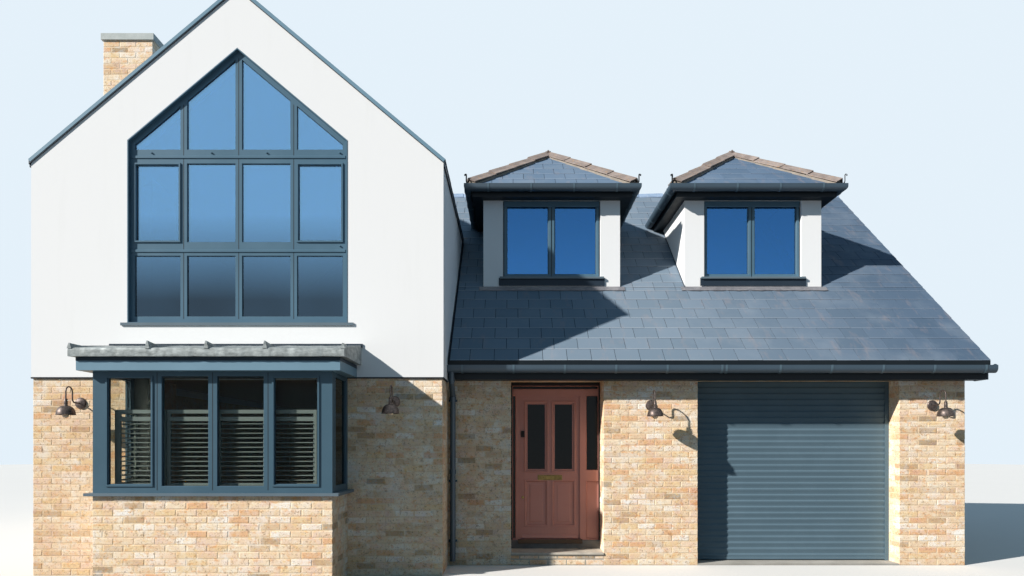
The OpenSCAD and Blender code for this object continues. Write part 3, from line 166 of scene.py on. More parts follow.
def grid_faces(rows, columns, close_rows=False, close_columns=False):
    """Quads of a grid of points; closing joins the last row or column to the first."""
    r = np.arange(rows if close_rows else rows - 1)
    c = np.arange(columns if close_columns else columns - 1)
    r, c = np.meshgrid(r, c, indexing="ij")
    r1 = (r + 1) % rows
    c1 = (c + 1) % columns
    quads = [r * columns + c, r1 * columns + c, r1 * columns + c1, r * columns + c1]
    return np.stack(quads, -1).reshape(-1, 4)


def row_of(x, y, z):
    """A row of points; a coordinate that they share may be one number."""
    return np.stack(np.broadcast_arrays(x, y, z), 1).astype(float)


def closed_faces(rows, columns):
    """Quads between the rings of a closed shape, and one face over each end."""
    ring = np.arange(columns)[None]
    sides = grid_faces(rows, columns, close_columns=True)
    return [sides, ring, (rows - 1) * columns + ring[:, ::-1]]


def gather(parts):
    """Joins (points, faces) pairs; each part's face numbers rise by the points before it."""
    points = []
    faces = []
    count = 0
    for part_points, part_faces in parts:
        part_points = np.asarray(part_points, float).reshape(-1, 3)
        points.append(part_points)
        faces.extend(f + count for f in part_faces)
        count += len(part_points)
    return np.concatenate(points), faces


def outward(points, faces):
    """Turns a closed shape whose enclosed volume, the sum of v0 . (v1 x v2) / 6, is negative."""
    points = np.asarray(points, float).reshape(-1, 3)
    middle = points.mean(0)
    volume = 0.0
    for f in faces:
        corners = points[f] - middle
        for k in range(1, f.shape[1] - 1):
            normals = np.cross(corners[:, k], corners[:, k + 1])
            volume += np.einsum("ij,ij->", corners[:, 0], normals)
    if volume < 0:
        faces = [f[:, ::-1] for f in faces]
    return points, faces


def piece(name, shape, finish, body="house", smooth=False, tone=None):
    """Makes one object from (points, faces), gives it its finish and lets it ride on a body."""
    points, faces = shape
    mesh = bpy.data.meshes.new(name)
    rows = [row for f in faces for row in f.tolist()]
    mesh.from_pydata((points.reshape(-1, 3) - ORIGIN).tolist(), [], rows)
    if tone is not None:
        layer = mesh.attributes.new("tone", "FLOAT", "POINT")
        layer.data.foreach_set("value", np.asarray(tone, np.float32).ravel())
    if smooth:
        mesh.shade_smooth()
        mesh.set_sharp_from_angle(angle=math.radians(40))
    mesh.materials.append(finish)
    made = bpy.data.objects.new(name, mesh)
    bpy.context.scene.collection.objects.link(made)
    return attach(made, body)


def toned(name, sets, finish):
    """Makes one object from several sets of points, faces and each point's tone."""
    shape = gather([(points, faces) for points, faces, tone in sets])
    tones = np.concatenate([tone for points, faces, tone in sets])
    return piece(name, shape, finish, tone=tones)


def carried(outline, places, sides, ups):
    """An outline (a, b) carried along a line: point (i, j) is place_i + a_j side_i + b_j up_i."""
    outline = np.asarray(outline, float)
    places = np.asarray(places, float)
    sides = np.broadcast_to(np.asarray(sides, float), places.shape)
    ups = np.broadcast_to(np.asarray(ups, float), places.shape)
    points = (places[:, None] + outline[None, :, :1] * sides[:, None]
              + outline[None, :, 1:] * ups[:, None])
    return outward(points, closed_faces(len(places), len(outline)))


def across(outline, x0, x1, y=0.0, z=0.0):
    """An outline (y, z) carried from x0 to x1."""
    return carried(outline, [[x0, y, z], [x1, y, z]], BACK, UP)


def box(x0, x1, y0, y1, z0, z1, chamfer=0.0):
    """A block whose four long edges, along its longest side, are cut off by the chamfer."""
    lo = np.array([x0, y0, z0])
    hi = np.array([x1, y1, z1])
    run = int(np.argmax(hi - lo))
    a, b = [axis for axis in range(3) if axis != run]
    w = (hi - lo)[a]
    h = (hi - lo)[b]
    c = chamfer
    outline = rectangle(0, w, 0, h)
    if c > 0:
        outline = [[c, 0], [w - c, 0], [w, c], [w, h - c], [w - c, h], [c, h], [0, h - c], [0, c]]
    ends = np.array([lo, lo])
    ends[1, run] = hi[run]
    return carried(outline, ends, np.eye(3)[a], np.eye(3)[b])


def turned(profile, centre, axis=(0, 0, 1), steps=24):
    """A profile (radius, height) turned about an axis: centre + h axis + r (cos t, sin t)."""
    profile = np.asarray(profile, float)
    axis = np.asarray(axis, float)
    first = np.array([1.0, 0, 0]) if abs(axis[0]) < 0.9 else np.array([0, 1.0, 0])
    second = np.cross(axis, first)
    angle = np.linspace(0, 2 * np.pi, steps, endpoint=False)
    round_ = np.cos(angle)[:, None] * first + np.sin(angle)[:, None] * second
    points = (np.asarray(centre, float) + profile[:, None, 1:] * axis
              + profile[:, None, :1] * round_[None])
    return outward(points, closed_faces(len(profile), steps))


def tube(path, radius, steps=10, side=(1, 0, 0)):
    """A round tube along a path in a plane whose normal is side; its ends are closed."""
    path = np.asarray(path, float)
    side = np.asarray(side, float)
    along = np.gradient(path, axis=0)
    along /= np.linalg.norm(along, axis=1)[:, None]
    angle = np.linspace(0, 2 * np.pi, steps, endpoint=False)
    outline = np.stack([np.cos(angle), np.sin(angle)], 1) * radius
    return carried(outline, path, side, np.cross(along, side))


def moulding(corners, section, normal_y=1.0):
    """A section (inset, y) carried round a convex outline (x, z) with mitred corners: each corner
    moves in by inset (n1 + n2) / (1 + n1 . n2), n1 and n2 being its two sides' inward normals."""
    corners = np.asarray(corners, float)
    section = np.asarray(section, float)
    edge = np.roll(corners, -1, 0) - corners
    edge /= np.linalg.norm(edge, axis=1)[:, None]
    inward = np.stack([-edge[:, 1], edge[:, 0]], 1)
    before = np.roll(inward, 1, 0)
    mitre = (inward + before) / (1 + (inward * before).sum(1))[:, None]
    flat = corners[None] + section[:, None, :1] * mitre[None]
    depth = np.broadcast_to(section[:, None, 1:], flat.shape[:2] + (1,)) * normal_y
    points = np.concatenate([flat[..., :1], depth, flat[..., 1:]], -1)
    turn = np.roll(section, -1, 0)
    area = (section[:, 0] * turn[:, 1] - turn[:, 0] * section[:, 1]).sum()
    faces = grid_faces(len(section), len(corners), True, True)
    if (area > 0) == (normal_y > 0):
        faces = faces[:, ::-1]
    return points.reshape(-1, 3), [faces]


def rectangle(x0, x1, z0, z1):
    """Corners of an upright rectangle, in the order that moulding wants."""
    return [[x0, z0], [x1, z0], [x1, z1], [x0, z1]]


# Finishes

class Paintbox:
    """Builds one material; each call adds nodes and returns the output that carries the result."""

    def __init__(self, name):
        self.material = bpy.data.materials.new(name)
        self.material.use_nodes = True
        self.tree = self.material.node_tree
        self.shader = self.tree.nodes["Principled BSDF"]
        self.place = self.node("ShaderNodeTexCoord").outputs["Object"]

    def node(self, kind, inputs=None, **settings):
        made = self.tree.nodes.new(kind)
        for key, value in settings.items():
            setattr(made, key, value)
        for key, value in (inputs or {}).items():
            self.put(made.inputs[key], value)
        return made

    def put(self, socket, value):
        if isinstance(value, bpy.types.NodeSocket):
            self.tree.links.new(value, socket)
        else:
            socket.default_value = value

    def stretched(self, scale, turn=(0, 0, 0)):
        return self.node("ShaderNodeMapping", {"Vector": self.place, "Scale": scale,
                                               "Rotation": turn}).outputs["Vector"]

    def noise(self, scale, detail, roughness, place=None):
        return self.node("ShaderNodeTexNoise", {
            "Vector": place or self.place, "Scale": scale, "Detail": detail,
            "Roughness": roughness}).outputs["Fac"]

    def along(self, axis):
        return self.node("ShaderNodeSeparateXYZ", {"Vector": self.place}).outputs[axis]

    def tone(self):
        return self.node("ShaderNodeAttribute", attribute_name="tone").outputs["Fac"]

    def ramp(self, factor, stops, constant=False):
        made = self.node("ShaderNodeValToRGB", {"Fac": factor})
        band = made.color_ramp
        band.interpolation = "CONSTANT" if constant else "LINEAR"
        for k, (position, colour) in enumerate(stops):
            stop = band.elements[k] if k < 2 else band.elements.new(position)
            stop.position = position
            stop.color = (*colour, 1.0)
        return made.outputs["Color"]

    def grade(self, factor, low, high, start=0.0, end=1.0):
        """A number that goes from low to high as factor goes from start to end."""
        return self.node("ShaderNodeMapRange", {
            "Value": factor, "From Min": start, "From Max": end, "To Min": low,
            "To Max": high}).outputs["Result"]

    def math(self, kind, a, b=0.0):
        made = self.node("ShaderNodeMath", operation=kind)
        self.put(made.inputs[0], a)
        self.put(made.inputs[1], b)
        return made.outputs[0]

    def mix(self, factor, a, b, blend="MIX"):
        made = self.node("ShaderNodeMix", data_type="RGBA", blend_type=blend)
        self.put(made.inputs[0], factor)
        self.put(made.inputs[6], a if isinstance(a, bpy.types.NodeSocket) else (*a, 1.0))
        self.put(made.inputs[7], b if isinstance(b, bpy.types.NodeSocket) else (*b, 1.0))
        return made.outputs[2]

    def stain(self, body, colour, mask, most, start, end):
        """Lays colour over body where mask passes start, rising to the share most at end."""
        return self.mix(self.grade(mask, 0.0, most, start, end), body, colour)

    def bump(self, height, strength, distance):
        return self.node("ShaderNodeBump", {
            "Height": height, "Strength": strength, "Distance": distance}).outputs["Normal"]

    def finish(self, base, roughness, normal=None, **others):
        """Puts the colour, the roughness, the bump and any other named values on the shader."""
        self.put(self.shader.inputs["Base Color"], base)
        self.put(self.shader.inputs["Roughness"], roughness)
        if normal is not None:
            self.put(self.shader.inputs["Normal"], normal)
        for key, value in others.items():
            self.put(self.shader.inputs[key.replace("_", " ")], value)
        return self.material


def shade(red, green, blue):
    """A colour given as it looks on a screen, 0 to 255, as the linear colour the shader wants."""
    parts = np.array([red, green, blue]) / 255
    linear = np.where(parts <= 0.04045, parts / 12.92, ((parts + 0.055) / 1.055) ** 2.4)
    return tuple(float(v) for v in linear)


def weathered(box_, body, share):
    """Cream, yellow and pink clouds, orange smears and soot that run on over bricks and mortar; the
    low wall left of the bay is browner, partly its bricks' own colour and partly a painted shade."""
    cloud = box_.noise(5.5, 8.0, 0.74)
    tint = box_.ramp(cloud, [[0.34, shade(255, 250, 242)], [0.43, shade(255, 243, 226)],
                             [0.49, shade(252, 228, 192)], [0.55, shade(247, 212, 172)],
                             [0.60, shade(246, 218, 202)], [0.68, shade(212, 160, 120)]])
    body = box_.mix(share, body, tint)
    warm = box_.noise(12.0, 6.0, 0.74, box_.stretched((1.0, 1.0, 1.8)))
    body = box_.stain(body, shade(230, 168, 112), warm, 0.75, 0.54, 0.65)
    straw = box_.noise(16.0, 6.0, 0.76, box_.stretched((1.0, 1.0, 1.6), (0, 0, 0.7)))
    body = box_.stain(body, shade(244, 206, 140), straw, 0.7, 0.55, 0.66)
    # Partly painted shade: browner brick low on the wall left of the bay.
    low_left_tint_and_shade = box_.math("MULTIPLY", box_.grade(box_.along("X"), 0.16, 0.0, -4.95, -4.6),
                         box_.grade(box_.along("Z"), 1.0, 0.0, 2.3, 3.2))
    body = box_.mix(low_left_tint_and_shade, body, shade(180, 140, 96))
    return box_.stain(body, shade(152, 120, 92), box_.noise(21.0, 6.0, 0.76), 0.75, 0.55, 0.69)


def brick_finish():
    """Old stock bricks: each brick's tone picks its colour; pale, pink and brown smears run over
    several bricks, and soot and pits lie in each."""
    box_ = Paintbox("stock_brick")
    colours = [[0.00, shade(246, 230, 206)], [0.22, shade(240, 216, 186)],
               [0.40, shade(242, 216, 194)], [0.54, shade(230, 198, 164)],
               [0.65, shade(234, 202, 150)], [0.73, shade(224, 160, 110)],
               [0.79, shade(206, 174, 140)], [0.86, shade(255, 252, 246)],
               [0.93, shade(162, 124, 86)], [0.975, shade(96, 76, 56)]]
    body = weathered(box_, box_.ramp(box_.tone(), colours, constant=True), 0.48)
    body = box_.stain(body, shade(128, 98, 70), box_.noise(62.0, 4.0, 0.65), 0.7, 0.58, 0.68)
    mottle = box_.noise(30.0, 5.0, 0.72)
    rough = box_.bump(box_.noise(85.0, 5.0, 0.7), 0.55, 0.004)
    return box_.finish(body, box_.grade(mottle, 0.82, 0.98), rough, Specular_IOR_Level=0.03)


def mortar_finish():
    """Pale lime and sand mortar, brushed flush, behind and between the bricks."""
    box_ = Paintbox("lime_mortar")
    grain = box_.noise(240.0, 3.0, 0.7)
    patch = box_.noise(9.0, 4.0, 0.6)
    body = weathered(box_, box_.mix(patch, shade(232, 213, 186), shade(204, 181, 150)), 0.55)
    body = box_.stain(body, shade(170, 148, 118), grain, 0.3, 0.5, 0.8)
    return box_.finish(body, 0.95, box_.bump(grain, 0.5, 0.003), Specular_IOR_Level=0.03)


def render_finish():
    """White through-coloured render: a fine scraped grain and the faintest runs of dirt."""
    box_ = Paintbox("white_render")
    runs = box_.noise(3.0, 5.0, 0.6, box_.stretched((3.0, 3.0, 0.35)))
    body = box_.stain(shade(241, 241, 240), shade(228, 228, 225), runs, 0.25, 0.55, 0.9)
    return box_.finish(body, 0.92, box_.bump(box_.noise(260.0, 3.0, 0.65), 0.22, 0.002))


def slate_finish(name, painted_shade_tint=(1.0, 1.0, 1.0)):
    """Blue-grey fibre slate. Tones up to 0.8 are slates, 0.9 a cut foot and 1 its dressed edge,
    painted pale as a highlight. Dust clouds it, pinkish rust runs down the slope, and a painted
    shade darkens it to the right of the house, where less sheen shows."""
    box_ = Paintbox(name)
    cloud = box_.noise(1.6, 5.0, 0.6)
    colours = [[0.0, shade(111, 127, 141)], [SLATE_TONES, shade(122, 137, 151)],
               [FOOT_TONE, shade(66, 75, 84)], [HIGHLIGHT_EDGE_TONE, shade(156, 166, 176)]]
    body = box_.ramp(box_.tone(), colours)
    # Painted shade: the grade on X darkens the right of the house, where less sheen shows, and the
    # tint passed in darkens the dormers' slopes, which catch more of the sun.
    deep = box_.mix(box_.grade(box_.along("X"), 0.0, 0.62, 1.8, 5.2), painted_shade_tint, (0.16, 0.27, 0.42))
    body = box_.mix(1.0, body, deep, "MULTIPLY")
    body = box_.stain(body, shade(142, 152, 162), cloud, 0.35, 0.48, 0.75)
    rust = box_.noise(3.4, 4.0, 0.7, box_.stretched((2.4, 0.7, 0.7)))
    body = box_.stain(body, shade(164, 146, 140), rust, 0.32, 0.56, 0.76)
    grain = box_.noise(70.0, 4.0, 0.6)
    return box_.finish(body, box_.grade(cloud, 0.52, 0.68), box_.bump(grain, 0.12, 0.002),
                       Specular_IOR_Level=0.02)


def clay_finish(name, light, dark, lichen):
    """Weathered tile: light and dark patches, specks of lichen and a sandy grain."""
    box_ = Paintbox(name)
    body = box_.stain(light, dark, box_.noise(7.0, 5.0, 0.65), 1.0, 0.35, 0.65)
    body = box_.mix(box_.math("MULTIPLY", box_.tone(), 0.5), body, dark)
    body = box_.stain(body, lichen, box_.noise(34.0, 3.0, 0.6), 0.8, 0.60, 0.70)
    return box_.finish(body, 0.9, box_.bump(box_.noise(130.0, 4.0, 0.7), 0.4, 0.003))


def coated_metal(name, colour, roughness, dust=0.08, specular=0.25):
    """Powder-coated metal or plastic: even colour, a breath of dust and a fine orange-peel."""
    box_ = Paintbox(name)
    film = box_.noise(2.4, 5.0, 0.6)
    pale = tuple(min(1.0, c * 1.5 + 0.02) for c in colour)
    body = box_.stain(colour, pale, film, dust * 3, 0.45, 0.85)
    peel = box_.noise(420.0, 2.0, 0.5)
    return box_.finish(body, box_.grade(film, roughness - 0.06, roughness + 0.1),
                       box_.bump(peel, 0.05, 0.001), Specular_IOR_Level=specular)


def lead_finish(name, light, dark):
    """Weathered lead sheet: chalky bloom, dark runs and shallow dents."""
    box_ = Paintbox(name)
    bloom = box_.noise(8.0, 6.0, 0.65, box_.stretched((1.0, 1.0, 2.5)))
    body = box_.stain(light, dark, bloom, 1.0, 0.36, 0.64)
    runs = box_.noise(16.0, 4.0, 0.7, box_.stretched((1.6, 1.0, 0.5)))
    body = box_.stain(body, shade(92, 92, 86), runs, 0.75, 0.58, 0.76)
    dents = box_.noise(14.0, 3.0, 0.5)
    return box_.finish(body, box_.grade(bloom, 0.5, 0.75), box_.bump(dents, 0.35, 0.012),
                       Metallic=0.25)


def glass_flow(box_):
    """The faint unevenness of a sheet of glass."""
    return box_.bump(box_.noise(1.8, 1.0, 0.3), 0.04, 0.02)


def sky_glass(name, top, foot, low_z, high_z, metal):
    """Coated double glazing: a bluish reflecting film, and in its colour a painted reflection of the
    sky, from its foot's colour to its top's.
    """
    box_ = Paintbox(name)
    # Painted reflection: the colour runs with height from the foot's to the top's, as sky and
    # surroundings would show in it.
    body = box_.mix(box_.grade(box_.along("Z"), 0.0, 1.0, low_z, high_z), foot, top)
    waves = box_.noise(0.9, 2.0, 0.4)
    body = box_.stain(body, tuple(c * 0.8 for c in top), waves, 0.25, 0.0, 1.0)
    return box_.finish(body, 0.03, glass_flow(box_), Metallic=metal, Transmission_Weight=1.0,
                       IOR=1.4)


def clear_glass():
    """Plain double glazing: a thin dark film that lets most light straight through; its dark is a
    painted shade that darkens the room seen through it.
    """
    box_ = Paintbox("clear_glass")
    body = box_.mix(box_.noise(1.2, 2.0, 0.4), shade(18, 26, 26), shade(26, 36, 36))
    return box_.finish(body, 0.02, glass_flow(box_), Alpha=0.1, Specular_IOR_Level=0.4)


def side_glass(name, light, dark):
    """The bay's side panes, which are looked through at a slant."""
    box_ = Paintbox(name)
    body = box_.mix(box_.noise(1.2, 2.0, 0.4), light, dark)
    return box_.finish(body, 0.02, glass_flow(box_), Transmission_Weight=1.0, IOR=1.15,
                       Specular_IOR_Level=0.3)


def dark_glass():
    """Obscured glass of the door: a dark body under a smooth, slightly ribbed face."""
    box_ = Paintbox("door_glass")
    ribs = box_.noise(60.0, 2.0, 0.5, box_.stretched((0.4, 1.0, 1.0)))
    body = box_.mix(ribs, shade(11, 14, 15), shade(20, 25, 26))
    return box_.finish(body, 0.12, box_.bump(ribs, 0.12, 0.002), Specular_IOR_Level=0.15)


def door_paint():
    """Mauve-brown eggshell paint over timber: brush marks along the grain and faint clouds."""
    box_ = Paintbox("door_paint")
    brush = box_.noise(38.0, 4.0, 0.6, box_.stretched((6.0, 6.0, 0.35)))
    cloud = box_.noise(4.0, 4.0, 0.6)
    body = box_.mix(cloud, shade(188, 129, 115), shade(173, 116, 103))
    body = box_.stain(body, shade(152, 101, 90), brush, 0.35, 0.5, 0.8)
    return box_.finish(body, box_.grade(cloud, 0.42, 0.55), box_.bump(brush, 0.18, 0.0015))


def aged_metal(name, light, dark, scale, detail, roughness, relief, metal):
    """Old metal with darker, duller patches: roughness is its lowest and its highest."""
    box_ = Paintbox(name)
    age = box_.noise(scale, detail, 0.6)
    body = box_.stain(light, dark, age, 1.0, 0.35, 0.7)
    return box_.finish(body, box_.grade(age, *roughness), box_.bump(age, relief, 0.001),
                       Metallic=metal)


def bulb_finish():
    """Frosted glass of a bulb."""
    box_ = Paintbox("lamp_bulb")
    frost = box_.noise(90.0, 2.0, 0.5)
    body = box_.mix(frost, shade(246, 232, 210), shade(238, 222, 198))
    return box_.finish(body, 0.35, box_.bump(frost, 0.05, 0.0005), Transmission_Weight=0.4)


def stone_finish(name, light, dark, scale=9.0):
    """Cast or sawn stone: cloudy patches, fine pores and a sandy face."""
    box_ = Paintbox(name)
    body = box_.stain(light, dark, box_.noise(scale, 5.0, 0.6), 1.0, 0.3, 0.7)
    pores = box_.noise(180.0, 3.0, 0.6)
    body = box_.stain(body, tuple(c * 0.5 for c in dark), pores, 0.5, 0.6, 0.75)
    return box_.finish(body, 0.9, box_.bump(pores, 0.3, 0.002))


def board_finish():
    """Pine floor boards 140 mm wide, running across the house, with grain along each board."""
    box_ = Paintbox("floor_boards")
    wave = {"Vector": box_.place, "Scale": 2.243, "Distortion": 0.0}
    seams = box_.node("ShaderNodeTexWave", wave, bands_direction="Y",
                      wave_profile="SAW").outputs["Fac"]
    grain = box_.noise(12.0, 5.0, 0.6, box_.stretched((0.4, 8.0, 1.0)))
    body = box_.mix(grain, shade(206, 176, 134), shade(172, 138, 96))
    body = box_.stain(body, shade(80, 60, 42), seams, 1.0, 0.96, 0.99)
    return box_.finish(body, 0.55, box_.bump(grain, 0.1, 0.001))


# Brickwork

BRICK = 0.215
BREADTH = 0.1025
HALF_MODULE = 0.1125
JOINT = 0.010
COURSE = OPENING_HEAD / 31
BRICK_PROUD = 0.002
RISER_TOP = 0.122
STEP_TOP = 0.158
GARAGE_REVEAL = 0.243
SILL_DROP = 0.030
END_WALL_TOP = 5.7
# Courses below the first that the chimney shows
STACK_COURSES = 65


def wall_bricks(origin, along, width, z0, z1, ends=("butt", "butt"), holes=(), limits=None):
    """Bricks of one wall face in stretcher bond.

    Half modules of width / n, n the nearest whole number of them, divide each course. A stretcher
    is two of them and a header one, less the joint; courses start with each by turns. An end that
    owns its corner goes round it by the other brick's breadth, one that gives starts past it."""
    slack = 0.012
    back_in = 0.012
    top_gap = 0.002
    hole_lap = 0.010
    least_height = 0.020
    least_width = 0.035
    header_below = BRICK * 0.75
    n = max(1, round((width + JOINT) / HALF_MODULE))
    half = (width + JOINT) / n
    rows = []
    for k in range(int(math.ceil((z1 - z0 - slack) / COURSE))):
        low = z0 + k * COURSE + JOINT / 2
        high = min(z0 + (k + 1) * COURSE - JOINT / 2, z1 - top_gap)
        if high - low < least_height:
            continue
        row = round(z0 / COURSE) + k
        header_first = row % 2
        if ends[0] == "give":
            header_first = 1 - header_first
        left = np.arange(-header_first, n, 2) * half
        right = left + 2 * half - JOINT
        left = np.maximum(left, 0.0)
        right = np.minimum(right, width)
        depth = np.full(len(left), back_in)
        first_depth = BREADTH if left[0] + header_below < right[0] else BRICK
        last_depth = BREADTH if left[-1] + header_below < right[-1] else BRICK
        past = (BREADTH if row % 2 == 0 else BRICK) + JOINT
        if ends[0] == "own":
            left[0] -= BRICK_PROUD
            depth[0] = first_depth
        if ends[1] == "own":
            right[-1] += BRICK_PROUD
            depth[-1] = last_depth
        if ends[0] == "give":
            left = np.maximum(left, past)
        if ends[1] == "give":
            right = np.minimum(right, width - past)
        if limits is not None:
            lo, hi = limits(high)
            left = np.maximum(left, lo)
            right = np.minimum(right, hi)
        for h0, h1, h_low, h_high in holes:
            if low < h_high - hole_lap and high > h_low + hole_lap:
                left, right = (np.concatenate([left, np.maximum(left, h1)]),
                               np.concatenate([np.minimum(right, h0), right]))
                depth = np.concatenate([depth, depth])
        kept = right - left > least_width
        count = int(kept.sum())
        rows.append(np.stack([left[kept], right[kept], np.full(count, low), np.full(count, high),
                              depth[kept]], 1))
    return brick_blocks(np.asarray(origin, float), along, np.concatenate(rows))


def brick_blocks(origin, along, table):
    """Each brick is a slightly crooked block with worn edges: a front face set in by the wear,
    a shoulder at that depth, and a back inside the wall. Rows are left, right, low, high, depth."""
    normal = np.cross(along, UP)
    left, right, low, high, depth = table.T
    count = len(table)
    wear = 0.005
    shoulder = wear * 0.7
    crook_u = 0.0028
    crook_z = 0.0024
    proud = BRICK_PROUD + RNG.uniform(-0.001, 0.0012, count)
    corner_u = np.stack([left, right, right, left], 1) + RNG.uniform(-crook_u, crook_u, (count, 4))
    corner_z = np.stack([low, low, high, high], 1) + RNG.uniform(-crook_z, crook_z, (count, 4))
    inset_u = np.array([1, -1, -1, 1]) * wear
    inset_z = np.array([1, 1, -1, -1]) * wear
    rings = []
    for inset, out in ((1.0, proud), (0.0, proud - shoulder), (0.0, -depth)):
        u = corner_u + inset * inset_u
        z = corner_z + inset * inset_z
        rings.append(origin + u[..., None] * along + (z - origin[2])[..., None] * UP
                     + out[:, None, None] * normal)
    points = np.concatenate(rings, 1)
    quads = [[0, 1, 2, 3]]
    for ring in (0, 4):
        for k in range(4):
            quads.append([ring + k, ring + 4 + k, ring + 4 + (k + 1) % 4, ring + (k + 1) % 4])
    each = points.shape[1]
    faces = (np.arange(count)[:, None, None] * each + np.array(quads)[None]).reshape(-1, 4)
    return points.reshape(-1, 3), [faces], np.repeat(RNG.uniform(0, 1, count), each)


def brickwork(name, walls, finish):
    """Joins the bricks of several wall faces, each as wall_bricks wants it, into one piece."""
    return toned(name, [wall_bricks(*wall) for wall in walls], finish)


def hole_from(corner, window):
    """A rear window's hole as measured along a wall that runs left from its corner."""
    x0, x1, low, high = window
    return [corner - x1, corner - x0, low - SILL_DROP, high]


def under_roof(high):
    """Where a course of the main block's end wall starts and ends under the slopes."""
    cover = 0.060
    reach = max(0.0, (high - EAVES_Z + cover) / MAIN_TAN)
    return reach, MAIN_DEPTH - reach


def lay_bricks(finish):
    """All brickwork, wall by wall: first corner, direction, width, foot, top and ends."""
    x0, x1, y0, y1 = GABLE_BRICK
    head = RENDER_FOOT
    brickwork("gable_brickwork", [
        ([x0, y0, 0], RIGHT, BAY[0] - x0, 0, head, ("own", "butt")),
        ([BAY[1], y0, 0], RIGHT, x1 - BAY[1], 0, head, ("butt", "own")),
        ([x1, y0, 0], BACK, -y0, 0, head, ("give", "butt")),
        ([x1, MAIN_DEPTH, 0], BACK, y1 - MAIN_DEPTH, 0, head, ("butt", "give")),
        ([x0, y1, 0], FORWARD, y1 - y0, 0, head, ("give", "give")),
        ([x1, y1, 0], LEFT, x1 - x0, 0, head, ("own", "own"), [hole_from(x1, REAR_LOW)]),
    ], finish)
    deep = y0 - BAY_FRONT
    brickwork("bay_brickwork", [
        ([BAY[0], BAY_FRONT, 0], RIGHT, BAY[1] - BAY[0], 0, BAY_PLINTH, ("own", "own")),
        ([BAY[1], BAY_FRONT, 0], BACK, deep, 0, BAY_PLINTH, ("give", "butt")),
        ([BAY[0], y0, 0], FORWARD, deep, 0, BAY_PLINTH, ("butt", "give")),
    ], finish)
    top = SOFFIT_Z
    head = OPENING_HEAD
    brickwork("front_brickwork", [
        ([GABLE_W, 0, 0], RIGHT, ENTRANCE[0] - GABLE_W, 0, top, ("butt", "own")),
        ([ENTRANCE[1], 0, 0], RIGHT, GARAGE[0] - ENTRANCE[1], 0, top, ("own", "own")),
        ([GARAGE[1], 0, 0], RIGHT, MAIN_X1 - GARAGE[1], 0, top, ("own", "own")),
        ([ENTRANCE[0], 0, 0], BACK, FRAME_Y, STEP_TOP, head, ("give", "butt")),
        ([ENTRANCE[1], FRAME_Y, 0], FORWARD, FRAME_Y, STEP_TOP, head, ("butt", "give")),
        ([GARAGE[0], 0, 0], BACK, GARAGE_REVEAL, 0, head, ("give", "butt")),
        ([GARAGE[1], GARAGE_REVEAL, 0], FORWARD, GARAGE_REVEAL, 0, head, ("butt", "give")),
        ([ENTRANCE[0], 0, 0], RIGHT, ENTRANCE[1] - ENTRANCE[0], 0, RISER_TOP),
    ], finish)
    holes = [hole_from(MAIN_X1, REAR_WIDE), hole_from(MAIN_X1, REAR_SMALL)]
    brickwork("rear_brickwork", [
        ([MAIN_X1, MAIN_DEPTH, 0], LEFT, MAIN_X1 - GABLE_W, 0, top, ("own", "butt"), holes),
        ([MAIN_X1, 0, 0], BACK, MAIN_DEPTH, 0, END_WALL_TOP, ("give", "give"), (), under_roof),
    ], finish)
    x0, x1, y0, y1 = STACK
    foot = COURSE * STACK_COURSES
    brickwork("chimney_brickwork", [
        ([x0, y0, foot], RIGHT, x1 - x0, foot, STACK_TOP, ("own", "own")),
        ([x1, y0, foot], BACK, y1 - y0, foot, STACK_TOP, ("give", "give")),
        ([x1, y1, foot], LEFT, x1 - x0, foot, STACK_TOP, ("own", "own")),
        ([x0, y1, foot], FORWARD, y1 - y0, foot, STACK_TOP, ("give", "give")),
    ], finish)


# Slates

SLATE_W = 0.300
SLATE_GAUGE = 0.250
SLATE_JOINT = 0.006
# Highest tone of a slate's face, and the tones of its cut foot and of its dressed edge, the last
# painted pale as a highlight
SLATE_TONES = 0.80
FOOT_TONE = 0.90
HIGHLIGHT_EDGE_TONE = 1.0
# Open gap between the slates and a valley, hip or ridge line
VALLEY_GAP = 0.030


